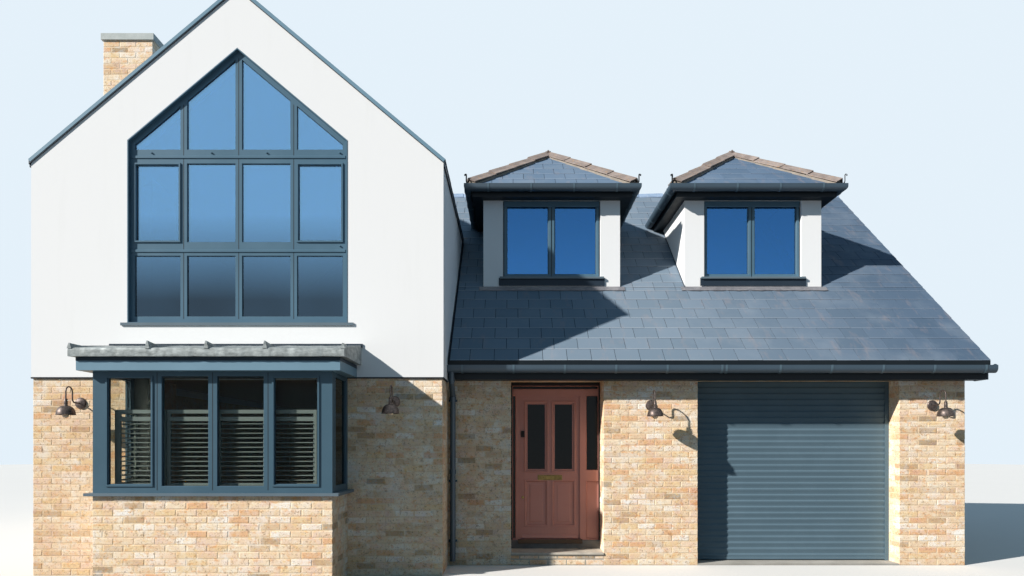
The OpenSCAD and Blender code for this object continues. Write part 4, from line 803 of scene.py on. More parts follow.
def slope_slates(start, along, up, length, strips, shift=0.0):
    """Slates of one slope: strips are (lowest v, highest v, left limit, right limit), the limits
    being functions of v. Each slate is cut to the limits at its foot and at its head, so edges run
    true. A slate's face rises from 3 mm at its head to 10 mm at its foot, where an edge is dressed
    off."""
    start = np.asarray(start, float)
    along = np.asarray(along, float)
    up = np.asarray(up, float)
    normal = np.cross(along, up)
    lap = 0.015
    least_height = 0.03
    least_width = 0.02
    rows = []
    for k in range(int(math.ceil(length / SLATE_GAUGE))):
        for v_low, v_high, lo, hi in strips:
            v0 = max(k * SLATE_GAUGE, v_low)
            v1 = min((k + 1) * SLATE_GAUGE + lap, v_high, length)
            if v1 - v0 < least_height:
                continue
            lows = np.array([lo(v0), lo(v1)])
            highs = np.array([hi(v0), hi(v1)])
            first = math.floor((lows.min() - shift) / SLATE_W) - 1
            last = math.ceil((highs.max() - shift) / SLATE_W) + 1
            left = shift + (np.arange(first, last) + 0.5 * (k % 2)) * SLATE_W
            right = left + SLATE_W - SLATE_JOINT
            edges = [np.clip(side, lows[j], highs[j]) for j in (0, 1) for side in (left, right)]
            kept = np.maximum(edges[1] - edges[0], edges[3] - edges[2]) > least_width
            count = int(kept.sum())
            rows.append(np.stack([e[kept] for e in edges]
                                 + [np.full(count, v0), np.full(count, v1)], 1))
    table = np.concatenate(rows)
    count = len(table)
    foot = 0.010 + RNG.uniform(-0.0012, 0.0015, count)
    head = 0.003 + RNG.uniform(-0.0005, 0.0005, count)
    l0, r0, l1, r1, v0, v1 = table.T
    sag = v0 + RNG.uniform(-0.0015, 0.0015, count)
    under = np.full(count, -0.002)
    lip = sag + 0.008
    chop = foot - 0.004
    corners = [(l0, sag, under), (r0, sag, under), (r1, v1, under), (l1, v1, under),
               (l0, lip, foot), (r0, lip, foot), (r1, v1, head), (l1, v1, head),
               (l0, sag, under), (r0, sag, under), (r0, sag, chop), (l0, sag, chop),
               (l0, sag, chop), (r0, sag, chop), (r0, lip, foot), (l0, lip, foot)]
    points = np.stack([start + u[:, None] * along + v[:, None] * up + h[:, None] * normal
                       for u, v, h in corners], 1)
    quads = np.array([[4, 5, 6, 7], [8, 9, 10, 11], [12, 13, 14, 15], [1, 2, 6, 5], [3, 0, 4, 7]])
    ends = np.array([[9, 14, 10], [8, 11, 15]])
    each = len(corners)
    first = np.arange(count)[:, None, None] * each
    faces = [(first + quads[None]).reshape(-1, 4), (first + ends[None]).reshape(-1, 3)]
    tone = np.repeat(RNG.uniform(0, SLATE_TONES, count), each).reshape(count, each)
    tone[:, 8:12] = FOOT_TONE
    tone[:, 12:] = HIGHLIGHT_EDGE_TONE
    return points.reshape(-1, 3), faces, tone.ravel()


def roof_line(z):
    """How far back from the front wall the main slope reaches the height z."""
    return min((z - EAVES_Z) / MAIN_TAN - EAVES_OUT, MAIN_MID)


def slope_z(y):
    """Height of the main roof's front slope at y."""
    return EAVES_Z + (y + EAVES_OUT) * MAIN_TAN


def main_slates(finish):
    """The main roof's two slopes, cut at the gable roof's valleys and round the dormers."""
    run = (MAIN_MID + EAVES_OUT) / MAIN_COS
    cheek_gap = 0.004

    def valley(v):
        z = EAVES_Z + v * MAIN_SIN
        return GABLE_W - max(0.0, z - GABLE_EAVES) / GABLE_TAN + VALLEY_GAP

    def cheek(v):
        z = EAVES_Z + v * MAIN_SIN
        if z < DORMER_EAVES:
            return DORMER_HALF + cheek_gap
        share = (z - DORMER_EAVES) / (RIDGE_Z - DORMER_EAVES)
        return DORMER_EDGE * max(0.0, 1 - share) + VALLEY_GAP

    foot = (DORMER_FOOT - EAVES_Z) / MAIN_SIN
    front = [(0.0, foot, valley, lambda v: VERGE_X),
             (foot, run, valley, lambda v: DORMER_XS[0] - cheek(v)),
             (foot, run, lambda v: DORMER_XS[0] + cheek(v), lambda v: DORMER_XS[1] - cheek(v)),
             (foot, run, lambda v: DORMER_XS[1] + cheek(v), lambda v: VERGE_X)]
    rear = [(0.0, run, lambda v: -VERGE_X, lambda v: -valley(v))]
    slates = slope_slates([0, -EAVES_OUT, EAVES_Z], RIGHT, [0, MAIN_COS, MAIN_SIN], run, front,
                          shift=0.24)
    toned("main_front_slates", [slates], finish)
    slates = slope_slates([0, MAIN_DEPTH + EAVES_OUT, EAVES_Z], LEFT, [0, -MAIN_COS, MAIN_SIN], run,
                          rear, shift=0.02)
    toned("main_rear_slates", [slates], finish)


def gable_slates(finish):
    """The gable roof's two slopes: the right one cut at the valleys, the left one at the chimney."""
    run = (GABLE_MID + GABLE_OVER) / GABLE_COS
    low = GABLE_EAVES - GABLE_OVER * GABLE_TAN
    stack_gap = 0.01

    def line(v):
        z = low + v * GABLE_SIN
        return roof_line(z) - (VALLEY_GAP if z < RIDGE_Z else 0.0)

    right = [(0.0, run, lambda v: GABLE_FRONT, line),
             (0.0, run, lambda v: MAIN_DEPTH - line(v), lambda v: GABLE_REAR)]
    past = (STACK[1] + GABLE_OVER) / GABLE_COS
    left = [(0.0, past, lambda v: -GABLE_REAR, lambda v: -STACK[3] - stack_gap),
            (0.0, past, lambda v: -STACK[2] + stack_gap, lambda v: -GABLE_FRONT),
            (past, run, lambda v: -GABLE_REAR, lambda v: -GABLE_FRONT)]
    toned("gable_slates", [
        slope_slates([GABLE_W + GABLE_OVER, 0, low], BACK, [-GABLE_COS, 0, GABLE_SIN], run, right,
                     shift=0.04),
        slope_slates([-GABLE_OVER, 0, low], FORWARD, [GABLE_COS, 0, GABLE_SIN], run, left,
                     shift=0.11),
    ], finish)


def dormer_slates(finish):
    """Each dormer's front hip end and its two sides, which run back to the main roof."""
    run = DORMER_EDGE / DORMER_COS

    def half(v):
        return DORMER_EDGE - v * DORMER_COS

    def hip_y(v):
        return DORMER_FRONT + v * DORMER_COS

    def back_y(v):
        return roof_line(DORMER_EAVES + v * DORMER_SIN) - VALLEY_GAP

    front = [(0.0, run, lambda v: -half(v), half)]
    right = [(0.0, run, hip_y, back_y)]
    left = [(0.0, run, lambda v: -back_y(v), lambda v: -hip_y(v))]
    slopes = []
    for x in DORMER_XS:
        slopes.append(slope_slates([x, DORMER_FRONT, DORMER_EAVES], RIGHT,
                                   [0, DORMER_COS, DORMER_SIN], run, front, shift=0.05))
        slopes.append(slope_slates([x + DORMER_EDGE, 0, DORMER_EAVES], BACK,
                                   [-DORMER_COS, 0, DORMER_SIN], run, right))
        slopes.append(slope_slates([x - DORMER_EDGE, 0, DORMER_EAVES], FORWARD,
                                   [DORMER_COS, 0, DORMER_SIN], run, left))
    toned("dormer_slates", slopes, finish)


# Ridge and hip tiles

# Length, half width, rise of the rounded crown and thickness of each sort of tile
RIDGE_TILE = [0.45, 0.122, 0.006, 0.016]
HIP_TILE = [0.46, 0.118, 0.018, 0.014]
DORMER_RIDGE_TILE = [0.45, 0.118, 0.016, 0.014]
BED_HALF = 0.106


def upward(wings):
    """The unit direction that stands up between two slopes."""
    up = -(wings[0] + wings[1])
    return up / np.linalg.norm(up)


def saddle_tiles(start, end, wings, tile, lifts=(0.0, 0.0)):
    """Angle tiles along a line: a section of two wings with a rounded crown, carried up the line
    tile by tile. The lower end of each tile stands clear of the one below it by the lap.
    wings are the two unit directions down the slopes, and lifts hold how far the row stands up at
    its start and at its end."""
    length, half, rise, thick = tile
    start = np.asarray(start, float)
    end = np.asarray(end, float)
    wings = np.asarray(wings, float)
    up = upward(wings)
    total = np.linalg.norm(end - start)
    along = (end - start) / total
    t = np.linspace(-1, 1, 9)
    crown = np.exp(-(t / 0.45) ** 2) * rise
    wing = np.where(t[:, None] < 0, wings[0], wings[1]) * np.abs(t[:, None]) * half
    outer = wing + up * (thick + crown)[:, None]
    inner = wing + up * (crown * 0.6)[:, None]
    ring = np.concatenate([outer, inner[::-1]])
    lap = 0.02
    jog = 0.004
    tilt = np.array([0.014, 0.008, 0.002])
    swell = np.array([1.04, 1.0, 0.96])
    sets = []
    for s in np.arange(0.0, total, length):
        far = min(s + length + lap, total)
        turn = RNG.uniform(-jog, jog)
        steps = np.array([s, s + 0.5 * (far - s), far])
        lift = tilt + np.interp(steps, [0, total], lifts)
        points = (start + steps[:, None, None] * along + lift[:, None, None] * up
                  + ring[None] * swell[:, None, None] + turn * up)
        points, faces = outward(points, closed_faces(3, len(ring)))
        sets.append((points, faces, np.full(len(points), RNG.uniform(0, 1))))
    return sets


def hip_bedding(start, end, wings, lifts):
    """Mortar under a row of tiles: at both ends five points, down the slopes by its half width and
    up to just under the tiles, joined by flat faces."""
    a, b = np.asarray(wings, float) * BED_HALF
    up = upward(np.asarray(wings, float))
    rings = []
    for place, lift in ((start, lifts[0]), (end, lifts[1])):
        crest = np.asarray(place, float) + up * lift
        rings.append([place + a, crest + a, crest + up * 0.006, crest + b, place + b])
    return outward(np.array(rings), closed_faces(2, 5))


def ridge_rows(finish):
    """Ridge tiles of the main roof, from its verge into the gable roof, and of the gable roof."""
    inner_x = 3.42
    over = 0.02
    rows = saddle_tiles([VERGE_X, MAIN_MID, RIDGE_Z], [inner_x, MAIN_MID, RIDGE_Z],
                        [[0, -MAIN_COS, -MAIN_SIN], [0, MAIN_COS, -MAIN_SIN]], RIDGE_TILE)
    rows += saddle_tiles([GABLE_MID, GABLE_FRONT - over, GABLE_APEX],
                         [GABLE_MID, GABLE_REAR + over, GABLE_APEX],
                         [[-GABLE_COS, 0, -GABLE_SIN], [GABLE_COS, 0, -GABLE_SIN]], RIDGE_TILE)
    made = toned("ridge_tile_rows", rows, finish)
    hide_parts("ridge_tiles")


def dormer_tile_rows(finish, mortar):
    """The dormers' two front hips and short ridges: tiles, and the mortar that they lie in."""
    tile_start = 0.02
    bed_start = 0.032
    ridge_lap = 0.05
    bed_lap = 0.03
    rear_gap = 0.02
    rows = []
    beds = []
    ridge_wings = [[-DORMER_COS, 0, -DORMER_SIN], [DORMER_COS, 0, -DORMER_SIN]]
    for x in DORMER_XS:
        peak = np.array([x, DORMER_FRONT + DORMER_EDGE, DORMER_CREST])
        for s in (-1, 1):
            foot = np.array([x + s * DORMER_EDGE, DORMER_FRONT, DORMER_EAVES])
            along = (peak - foot) / np.linalg.norm(peak - foot)
            side = np.cross(along, [s * DORMER_SIN, 0, DORMER_COS])
            front = np.cross(along, [0, -DORMER_SIN, DORMER_COS])
            side *= -np.sign(side @ FORWARD)
            front *= -np.sign(front @ (s * RIGHT))
            wings = [side, front]
            rows += saddle_tiles(foot + along * tile_start, peak, wings, HIP_TILE,
                                 lifts=(0.044, 0.028))
            beds.append(hip_bedding(foot + along * bed_start, peak, wings, lifts=(0.040, 0.024)))
        rear = np.array([x, MAIN_MID - rear_gap, DORMER_CREST])
        rows += saddle_tiles(peak - [0, ridge_lap, 0], rear, ridge_wings, DORMER_RIDGE_TILE,
                             lifts=(0.024, 0.006))
        beds.append(hip_bedding(peak - [0, bed_lap, 0], rear, ridge_wings, lifts=(0.022, 0.006)))
    made = toned("dormer_tile_rows", rows, finish)
    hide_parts("dormer_hip_tiles")
    piece("hip_bedding", gather(beds), mortar)


def hip_irons(finish):
    """Scrolled straps that hold up the lowest hip tiles: flat strip that runs out from under the
    tile, turns up round a quarter circle of 30 mm and curls out round a circle of 17 mm."""
    bend = 0.030
    bend_out = 0.050
    scroll = 0.017
    scroll_out = 0.097
    scroll_up = 0.105
    turn = np.linspace(0, np.pi / 2, 8)
    curl = np.linspace(np.pi, -np.pi / 3, 16)
    reach = np.concatenate([[0.0], bend_out + bend * np.sin(turn),
                            scroll_out + scroll * np.cos(curl)])
    rise = np.concatenate([[0.0], bend - bend * np.cos(turn), scroll_up + scroll * np.sin(curl)])
    strap = rectangle(-0.011, 0.011, 0, 0.006)
    under = 0.02
    clear = 0.012
    parts = []
    for x in DORMER_XS:
        for s in (-1, 1):
            out = np.array([s, -1, 0]) / math.sqrt(2)
            foot = np.array([x + s * (DORMER_EDGE - under), DORMER_FRONT + under,
                             DORMER_EAVES + clear])
            line = foot + reach[:, None] * out + rise[:, None] * UP
            along = np.gradient(line, axis=0)
            along /= np.linalg.norm(along, axis=1)[:, None]
            side = np.cross(out, UP)
            parts.append(carried(strap, line, side, np.cross(along, side)))
    piece("hip_irons", gather(parts), finish, smooth=True)


def eaves_felt(finish):
    """The dark felt strip that closes the roof's edge between the lowest slates and the gutter."""
    thick = 0.0035
    foot = 2.478
    parts = []
    for y in (-EAVES_OUT - 0.004, MAIN_DEPTH + EAVES_OUT + 0.0005):
        parts.append(box(GABLE_W + 0.002, VERGE_X - 0.001, y, y + thick, foot, EAVES_Z))
    piece("eaves_felt", gather(parts), finish)


# Lead

LEAD_STEPS = 30
SHEET = 0.002


def strip(points_low, points_high, normal, thick):
    """A sheet between two lines of points, as thick as said along the normal."""
    low = np.asarray(points_low, float)
    high = np.asarray(points_high, float)
    lift = np.asarray(normal, float) * thick
    return outward(np.stack([low, high, high + lift, low + lift], 1), closed_faces(len(low), 4))


def wall_edges():
    """The dark edges up the gable block's side wall, over the main roof's front and rear slopes."""
    tall = 0.030
    rear_reach = 2.39
    parts = []
    for reach, front in ((roof_line(GABLE_EAVES), True), (rear_reach, False)):
        y = np.linspace(-EAVES_OUT, reach, LEAD_STEPS)
        base = row_of(GABLE_W, y if front else MAIN_DEPTH - y, slope_z(y))
        parts.append(strip(base, base + tall * UP, RIGHT, 0.006))
    return parts


def dormer_lead(x):
    """One dormer's dark edges, up its cheeks and under its sill, and its lead apron."""
    tall = 0.034
    before = 0.02
    below = 0.19
    edges = []
    for s in (-1, 1):
        y = np.linspace(DORMER_FACE - before, roof_line(DORMER_EAVES - below), LEAD_STEPS)
        base = row_of(x + s * DORMER_HALF, y, slope_z(y))
        edges.append(strip(base, base + tall * UP, s * RIGHT, 0.004))
    out = np.array([0, -MAIN_SIN, MAIN_COS])
    down = np.array([0, -MAIN_COS, -MAIN_SIN])
    half = DORMER_HALF + 0.06
    width = 0.110
    on_slates = 0.013
    u = np.linspace(-half, half, 60)
    ripple = 0.002 * np.sin(u * 21) + 0.0015 * np.sin(u * 57 + x)
    wall = row_of(x + u, DORMER_FACE, DORMER_FOOT) + out * on_slates
    foot = wall + down * (width + ripple * 3)[:, None] + out * ripple[:, None]
    apron = strip(foot, wall, out, 0.0025)
    # The upstand under the sill, in the dark edges' finish: partly its own dark paint, partly painted
    # shade from the sill.
    wall = wall[np.abs(u) <= DORMER_WINDOW[0] + 0.07]
    low = [0, -0.004, 0.012]
    high = [0, -0.004, 0.128]
    edges.append(strip(wall + low, wall + high, FORWARD, 0.003))
    return edges, apron


def valley_lead():
    """Lead in the two valleys, 90 mm along each roof from the line where they meet."""
    width = 0.09
    z = np.linspace(GABLE_EAVES, RIDGE_Z, LEAD_STEPS)
    parts = []
    for mirror in (1, -1):
        y = (z - EAVES_Z) / MAIN_TAN - EAVES_OUT
        if mirror < 0:
            y = MAIN_DEPTH - y
        middle = row_of(GABLE_W - (z - GABLE_EAVES) / GABLE_TAN, y, z + 0.004)
        parts.append(strip(middle, middle + [width, 0, 0], [0, -mirror * MAIN_SIN, MAIN_COS],
                           SHEET))
        parts.append(strip(middle + [0, -mirror * width, 0], middle, [GABLE_SIN, 0, GABLE_COS],
                           SHEET))
    return parts


def chimney_lead():
    """Lead round the chimney's foot: up its front and rear faces, on the slates, along the top."""
    tall = 0.14
    width = 0.12
    past = 0.1
    tuck = 0.01
    on_slates = 0.013
    slope_normal = [-GABLE_SIN, 0, GABLE_COS]
    x = np.linspace(STACK[0], STACK[1] + 0.02, 12)
    parts = []
    for y, side in ((STACK[2], -1), (STACK[3], 1)):
        base = row_of(x, y, GABLE_EAVES + x * GABLE_TAN)
        parts.append(strip(base, base + tall * UP, [0, side, 0], 0.006))
        parts.append(strip(base + [0, 0, on_slates], base + [0, side * width, on_slates],
                           slope_normal, SHEET))
    y = np.linspace(STACK[2] - past, STACK[3] + past, 12)
    base = row_of(STACK[1], y, GABLE_EAVES + STACK[1] * GABLE_TAN) + [-tuck, 0, on_slates]
    parts.append(strip(base, base + [width, 0, width * GABLE_TAN], slope_normal, SHEET))
    return parts


def leadwork(finish, dark, pale):
    """Flashings: thin dark edges where slates meet the gable's side wall and the dormers' cheeks,
    an upstand and a lead apron under each dormer, the valleys, and round the chimney's foot."""
    edges = wall_edges()
    aprons = []
    for x in DORMER_XS:
        more, apron = dormer_lead(x)
        edges += more
        aprons.append(apron)
    piece("roof_edge_flashings", gather(edges), dark)
    piece("dormer_aprons", gather(aprons), pale)
    piece("lead_flashings", gather(valley_lead() + chimney_lead()), finish)


def bay_lead_roof(finish):
    """The bay's lead roof: a section from the wall down the slope, over a drip and back, carried
    across the bay, with dents of a few millimetres from sines of x; low rolls go up the slope and
    each ends in a tapering upstand."""
    front = BAY_ROOF_FRONT
    z0 = BAY_ROOF_FOOT
    edge = BAY_ROOF_EDGE
    top = BAY_ROOF_TOP
    over = 0.165
    x0 = BAY[0] - over
    x1 = BAY[1] + over
    x = np.linspace(x0, x1, 150)
    section = np.array([[GABLE_FRONT, z0 + 0.004], [front + 0.10, z0 + 0.004],
                        [front + 0.014, z0], [front + 0.004, z0],
                        [front + 0.002, z0 + 0.020], [front + 0.003, edge - 0.03],
                        [front + 0.008, edge - 0.008], [front + 0.025, edge + 0.004],
                        [front + 0.20, edge + 0.030], [front + 0.45, edge + 0.074],
                        [front + 0.70, edge + 0.116], [GABLE_FRONT, top - 0.002]])
    dent = (0.0020 * np.sin(x * 9.0 + 0.6) + 0.0018 * np.sin(x * 23.0)
            + 0.0012 * np.sin(x * 61.0 + 2.0))
    weight = np.array([0, 0, 0.6, 1, 1, 1, 1, 1, 0.8, 0.8, 0.5, 0])
    points = np.zeros((len(x), len(section), 3))
    points[..., 0] = x[:, None]
    points[..., 1] = section[None, :, 0] + np.abs(dent[:, None]) * weight[None]
    points[..., 2] = section[None, :, 1] + dent[:, None] * weight[None] * 0.8
    points[..., 2] = np.maximum(points[..., 2], z0)
    parts = [outward(points, closed_faces(len(x), len(section)))]
    slope = (top - edge) / (GABLE_FRONT - front)
    edge_roll = 0.016
    spacing = 0.610
    low = 0.042
    high = 0.066
    rolls = [[x0 + edge_roll, low], [GABLE_MID - spacing, high], [GABLE_MID, high],
             [GABLE_MID + spacing, high], [x1 - edge_roll, low]]
    radius = 0.016
    angle = np.linspace(0, np.pi, 8)
    roll = np.stack([np.cos(angle) * radius, np.sin(angle) * radius], 1)
    y = np.linspace(front + 0.02, GABLE_FRONT, 16)
    for x, tall in rolls:
        parts.append(carried(roll, row_of(x, y, edge + (y - front) * slope), RIGHT, UP))
        parts.append(upstand(x, front + 0.002, edge - 0.012, slope, tall))
    made = piece("bay_lead_roof", gather(parts), finish, smooth=True)
    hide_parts("bay_roof")


def upstand(x, front, z, slope, height):
    """A lead roll's end: a peaked section that falls by (1 - reach) ** 1.3 to the roll's height."""
    length = 0.360
    roll_rise = 0.014
    crest = 0.25
    reach = np.linspace(0, 1, 8)
    tall = height * (1 - reach) ** 1.3 + roll_rise
    half = 0.024 - 0.008 * reach
    y = front + reach * length
    base = z + (y - front) * slope
    lines = [row_of(x - half, y, base), row_of(x - half * crest, y, base + tall),
             row_of(x + half * crest, y, base + tall), row_of(x + half, y, base)]
    return outward(np.stack(lines, 1), closed_faces(len(reach), 4))


def bay_wall_flashing(finish):
    """Flashing dressed down over the bay's lead roof, tucked under the render."""
    past_left = 0.205
    past_right = 0.180
    lap = 0.010
    tall = 0.043
    foot = BAY_ROOF_TOP - lap
    made = box(BAY[0] - past_left, BAY[1] + past_right, GABLE_FRONT - 0.016, GABLE_FRONT - 0.001,
               foot, foot + tall, 0.003)
    piece("bay_wall_flashing", made, finish)


def bay_drip_shade_board(finish):
    """The dark board between the bay's fascia and its lead roof: painted shade in the recess under
    the lead's drip.
    """
    out = 0.112
    tall = 0.0395
    top = BAY_ROOF_FOOT - 0.0005
    made = box(BAY[0] - out, BAY[1] + out, BAY_FRONT - out, GABLE_FRONT - 0.002, top - tall, top)
    piece("bay_drip_shade_board", made, finish)


def bay_panes(front, left, right):
    """The bay's sealed units, 24 mm thick: four panes in front and one at each side."""
    inset = 0.023
    y = BAY_FRONT + inset
    parts = [box(low[0], high[0], y, y + PANE, low[1], high[1]) for low, _, high, _ in bay_lights()]
    made = piece("bay_front_panes", gather(parts), front)
    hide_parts("bay_window_glass")
    for name, x, glass in (("bay_left_pane", BAY[0] + inset, left),
                           ("bay_right_pane", BAY[1] - inset - PANE, right)):
        shape = box(x, x + PANE, BAY_FRONT + BAY_CORNER, GABLE_FRONT - 0.060, *BAY_LIGHTS_Z)
        piece(name, shape, glass)


def bay_lining(paint):
    """Dark boards on the wall's face inside the bay, between its corners and the opening: painted
    shade for the unlit inside.
    """
    near = 0.064
    far = 0.250
    face = -0.6995
    back = -0.6955
    foot = 1.002
    head = 2.280
    parts = [box(a, b, face, back, foot, head)
             for a, b in ((BAY[0] + near, BAY[0] + far), (BAY[1] - far, BAY[1] - near))]
    piece("bay_lining", gather(parts), paint)


def louvre_shutters(paint):
    """Half-height shutters inside the bay: stiles, rails with a gap in the upper one, and slats
    52 mm deep, each an ellipse (26 cos t, 5 sin t) tipped by 6 degrees, one every 50 mm."""
    inset = 0.190
    y = BAY_FRONT + 0.105
    x0 = BAY[0] + inset
    side_y = y + 0.040
    side_out = 0.012
    width = (BAY[1] - BAY[0] - 2 * inset) / 4
    low = BAY_PLINTH + 0.042
    top = 1.890
    stile = 0.036
    thick = 0.028
    gap = 0.006
    rails = ((low, low + 0.090), (top - 0.121, top - 0.076), (top - 0.040, top))
    t = np.linspace(0, 2 * np.pi, 10, endpoint=False)
    cos = math.cos(math.radians(6))
    sin = math.sin(math.radians(6))
    slat = np.stack([0.014 + 0.026 * np.cos(t) * cos - 0.005 * np.sin(t) * sin,
                     0.026 * np.cos(t) * sin + 0.005 * np.sin(t) * cos], 1)
    heights = np.append(low + 0.121 + 0.0504 * np.arange(12), 1.738)
    panels = [[[x0 + k * width + gap, y, 0], RIGHT, BACK, width - 2 * gap] for k in range(4)]
    reach = GABLE_FRONT - BAY_FRONT - 0.250
    panels.append([[x0 - side_out, side_y, 0], BACK, LEFT, reach])
    panels.append([[2 * GABLE_MID - x0 + side_out, side_y, 0], BACK, RIGHT, reach])
    parts = []
    for start, along, inward, w in panels:
        start = np.array(start, float)
        for a in (0.0, w - stile):
            b = w if a else stile
            parts.append(carried(rectangle(a, b, 0.0, thick), [start + low * UP, start + top * UP],
                                 along, inward))
        ends = np.array([start + along * stile, start + along * (w - stile)])
        for z0, z1 in rails:
            parts.append(carried(rectangle(0.0, thick, z0, z1), ends, inward, UP))
        for z in heights:
            parts.append(carried(slat + [0, z], ends, inward, UP))
    made = piece("louvre_shutters", gather(parts), paint)
    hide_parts("bay_shutters")


# Gutters

def gutter_section(grow):
    """Outer line of the gutter in (y, z), from its back lip round the bottom to its front lip."""
    r = GUTTER_R + grow
    centre = GUTTER_TOP - GUTTER_H + GUTTER_R
    angle = np.linspace(0, -np.pi, 13)
    arc = np.stack([np.cos(angle) * r, centre + np.sin(angle) * r], 1)
    return np.concatenate([[[r, GUTTER_TOP]], arc, [[-r, GUTTER_TOP]]])


def bracket(place, along, side):
    """A strap round a gutter: an outline 7 mm thick carried 12 mm to each side of its place."""
    outline = np.concatenate([gutter_section(0.006), gutter_section(-0.001)[::-1]])
    outline = outline - [0, GUTTER_TOP]
    half = 0.012 * along
    return carried(outline, [place - half, place + half], side, UP)


def gutter_brackets(finish):
    """Brackets along the main gutters, front and rear, with two at the joint in their middle, and
    along the dormers' three sides."""
    middle = -FASCIA_OUT - 0.008 - GUTTER_R
    spacing = 0.625
    joint = [8.115, 8.170]
    parts = []
    for x in [4.95, *(5.576 + spacing * np.arange(4)), *joint, *(8.826 + spacing * np.arange(5))]:
        parts.append(bracket(np.array([x, middle, GUTTER_TOP]), RIGHT, BACK))
        parts.append(bracket(np.array([x, MAIN_DEPTH - middle, GUTTER_TOP]), RIGHT, FORWARD))
    top = DORMER_EAVES - 0.002
    board_out = DORMER_OVER - 0.040
    out = DORMER_HALF + board_out + GUTTER_R
    front = DORMER_FACE - board_out - GUTTER_R
    for centre in DORMER_XS:
        for dx in (-0.9, -0.3, 0.3, 0.9):
            parts.append(bracket(np.array([centre + dx, front, top]), RIGHT, BACK))
        for dy in (0.16, 0.76, 1.36):
            for s in (-1, 1):
                place = np.array([centre + s * out, front + dy, top])
                parts.append(bracket(place, BACK, -s * RIGHT))
    piece("gutter_brackets", gather(parts), finish)


# Windows

# Sections (inset, depth behind the frame's face): glazing bead, its rubber, and a casement's rim
BEAD = [[0.0, 0.0], [0.003, 0.0], [0.006, 0.015], [0.006, 0.020], [0.0, 0.020]]
GASKET = [[0.005, 0.0143], [0.009, 0.0176], [0.009, 0.022], [0.005, 0.022]]
SASH = [[0, -0.012], [0.030, -0.012], [0.034, -0.008], [0.034, 0.004], [0, 0.004]]


def at_face(section, y):
    """A section moved to the face that lies at y."""
    return [[inset, y + depth] for inset, depth in section]


def casement_lights(x0, x1, z0, z1, count):
    """The openings for the glass of a casement window, as rectangles (x, z)."""
    ring = CASEMENT_RING
    width = (x1 - x0 - 2 * ring - (count - 1) * CASEMENT_BAR) / count
    lefts = x0 + ring + np.arange(count) * (width + CASEMENT_BAR)
    return [rectangle(left, left + width, z0 + ring, z1 - ring) for left in lefts]


def gable_lights():
    """The gable window's openings: two rows of rectangles, and a top row under the slopes. The
    upper row's outer two open, and their sashes narrow them."""
    mid = GABLE_MID
    ring = 0.058
    bar = 0.035
    sash = 0.018
    low_row = [3.002, 3.714]
    middle_row = [3.865, 4.786]
    top_row = 4.940
    inner = MULLION_SPACING - bar
    outer = MULLION_SPACING + bar
    columns = [[GABLE_WINDOW[0] + ring, mid - outer], [mid - inner, mid - bar],
               [mid + bar, mid + inner], [mid + outer, GABLE_WINDOW[1] - ring]]
    side = GABLE_WINDOW_SPRING + ring * GABLE_TAN - ring / GABLE_COS
    lights = [rectangle(x0, x1, *low_row) for x0, x1 in columns]
    for column, (x0, x1) in enumerate(columns):
        cut = sash if column in (0, 3) else 0.0
        lights.append(rectangle(x0 + cut, x1 - cut, middle_row[0] + cut, middle_row[1] - cut))
    for x0, x1 in columns:
        rises = [side + (min(x, 2 * mid - x) - columns[0][0]) * GABLE_TAN for x in (x0, x1)]
        lights.append([[x0, top_row], [x1, top_row], [x1, rises[1]], [x0, rises[0]]])
    return lights


def bay_lights():
    """The bay's four front openings, the outer two narrowed by their sashes."""
    low, high = BAY_LIGHTS_Z
    lights = []
    for k in range(4):
        left = BAY[0] + BAY_CORNER + k * (BAY_LIGHT + BAY_MULLION)
        cut = 0.020 if k in (0, 3) else 0.0
        lights.append(rectangle(left + cut, left + BAY_LIGHT - cut, low + cut, high - cut))
    return lights


def glazing_beads(metal, rubber):
    """Beads and rubbers round the glass of every window."""
    half, low, high = DORMER_WINDOW
    groups = [[gable_lights(), GABLE_WINDOW_Y, 1], [bay_lights(), BAY_FRONT, 1]]
    for x in DORMER_XS:
        groups.append([casement_lights(x - half, x + half, low, high, 2), DORMER_WINDOW_Y, 1])
    for window, count, wall in REAR_WINDOWS:
        groups.append([casement_lights(*window, count), wall - REAR_SET_BACK, -1])
    beads = []
    rubbers = []
    for lights, y, side in groups:
        for light in lights:
            beads.append(moulding(light, at_face(BEAD, side * y), side))
            rubbers.append(moulding(light, at_face(GASKET, side * y), side))
    piece("glazing_beads", gather(beads), metal)
    piece("glazing_gaskets", gather(rubbers), rubber)


def sash_lines(metal):
    """Raised outer sashes of the dormer and rear casements, and the drip bars over the gable's
    vents and the dormers' sashes."""
    edge = 0.020
    half_gap = 0.008
    lap = 0.035
    half, low, high = DORMER_WINDOW
    parts = []
    for x in DORMER_XS:
        for a, b in ((x - half + edge, x - half_gap), (x + half_gap, x + half - edge)):
            outline = rectangle(a, b, low + edge, high - edge)
            parts.append(moulding(outline, at_face(SASH, DORMER_WINDOW_Y)))
    for window, count, wall in REAR_WINDOWS:
        foot = window[2] + edge
        head = window[3] - edge
        for light in casement_lights(*window, count):
            outline = rectangle(light[0][0] - lap, light[1][0] + lap, foot, head)
            parts.append(moulding(outline, at_face(SASH, REAR_SET_BACK - wall), -1))
    inset = 0.030
    deep = 0.004
    drip_tall = 0.034
    for z in (4.838, 3.748):
        parts.append(box(GABLE_WINDOW[0] + inset, GABLE_WINDOW[1] - inset, GABLE_WINDOW_Y - 0.010,
                         GABLE_WINDOW_Y + deep, z, z + drip_tall, 0.004))
    reach = half - 0.012
    for x in DORMER_XS:
        parts.append(box(x - reach, x + reach, DORMER_WINDOW_Y - 0.022, DORMER_WINDOW_Y + deep,
                         high - 0.085, high - 0.004, 0.006))
    piece("sash_rims", gather(parts), metal)


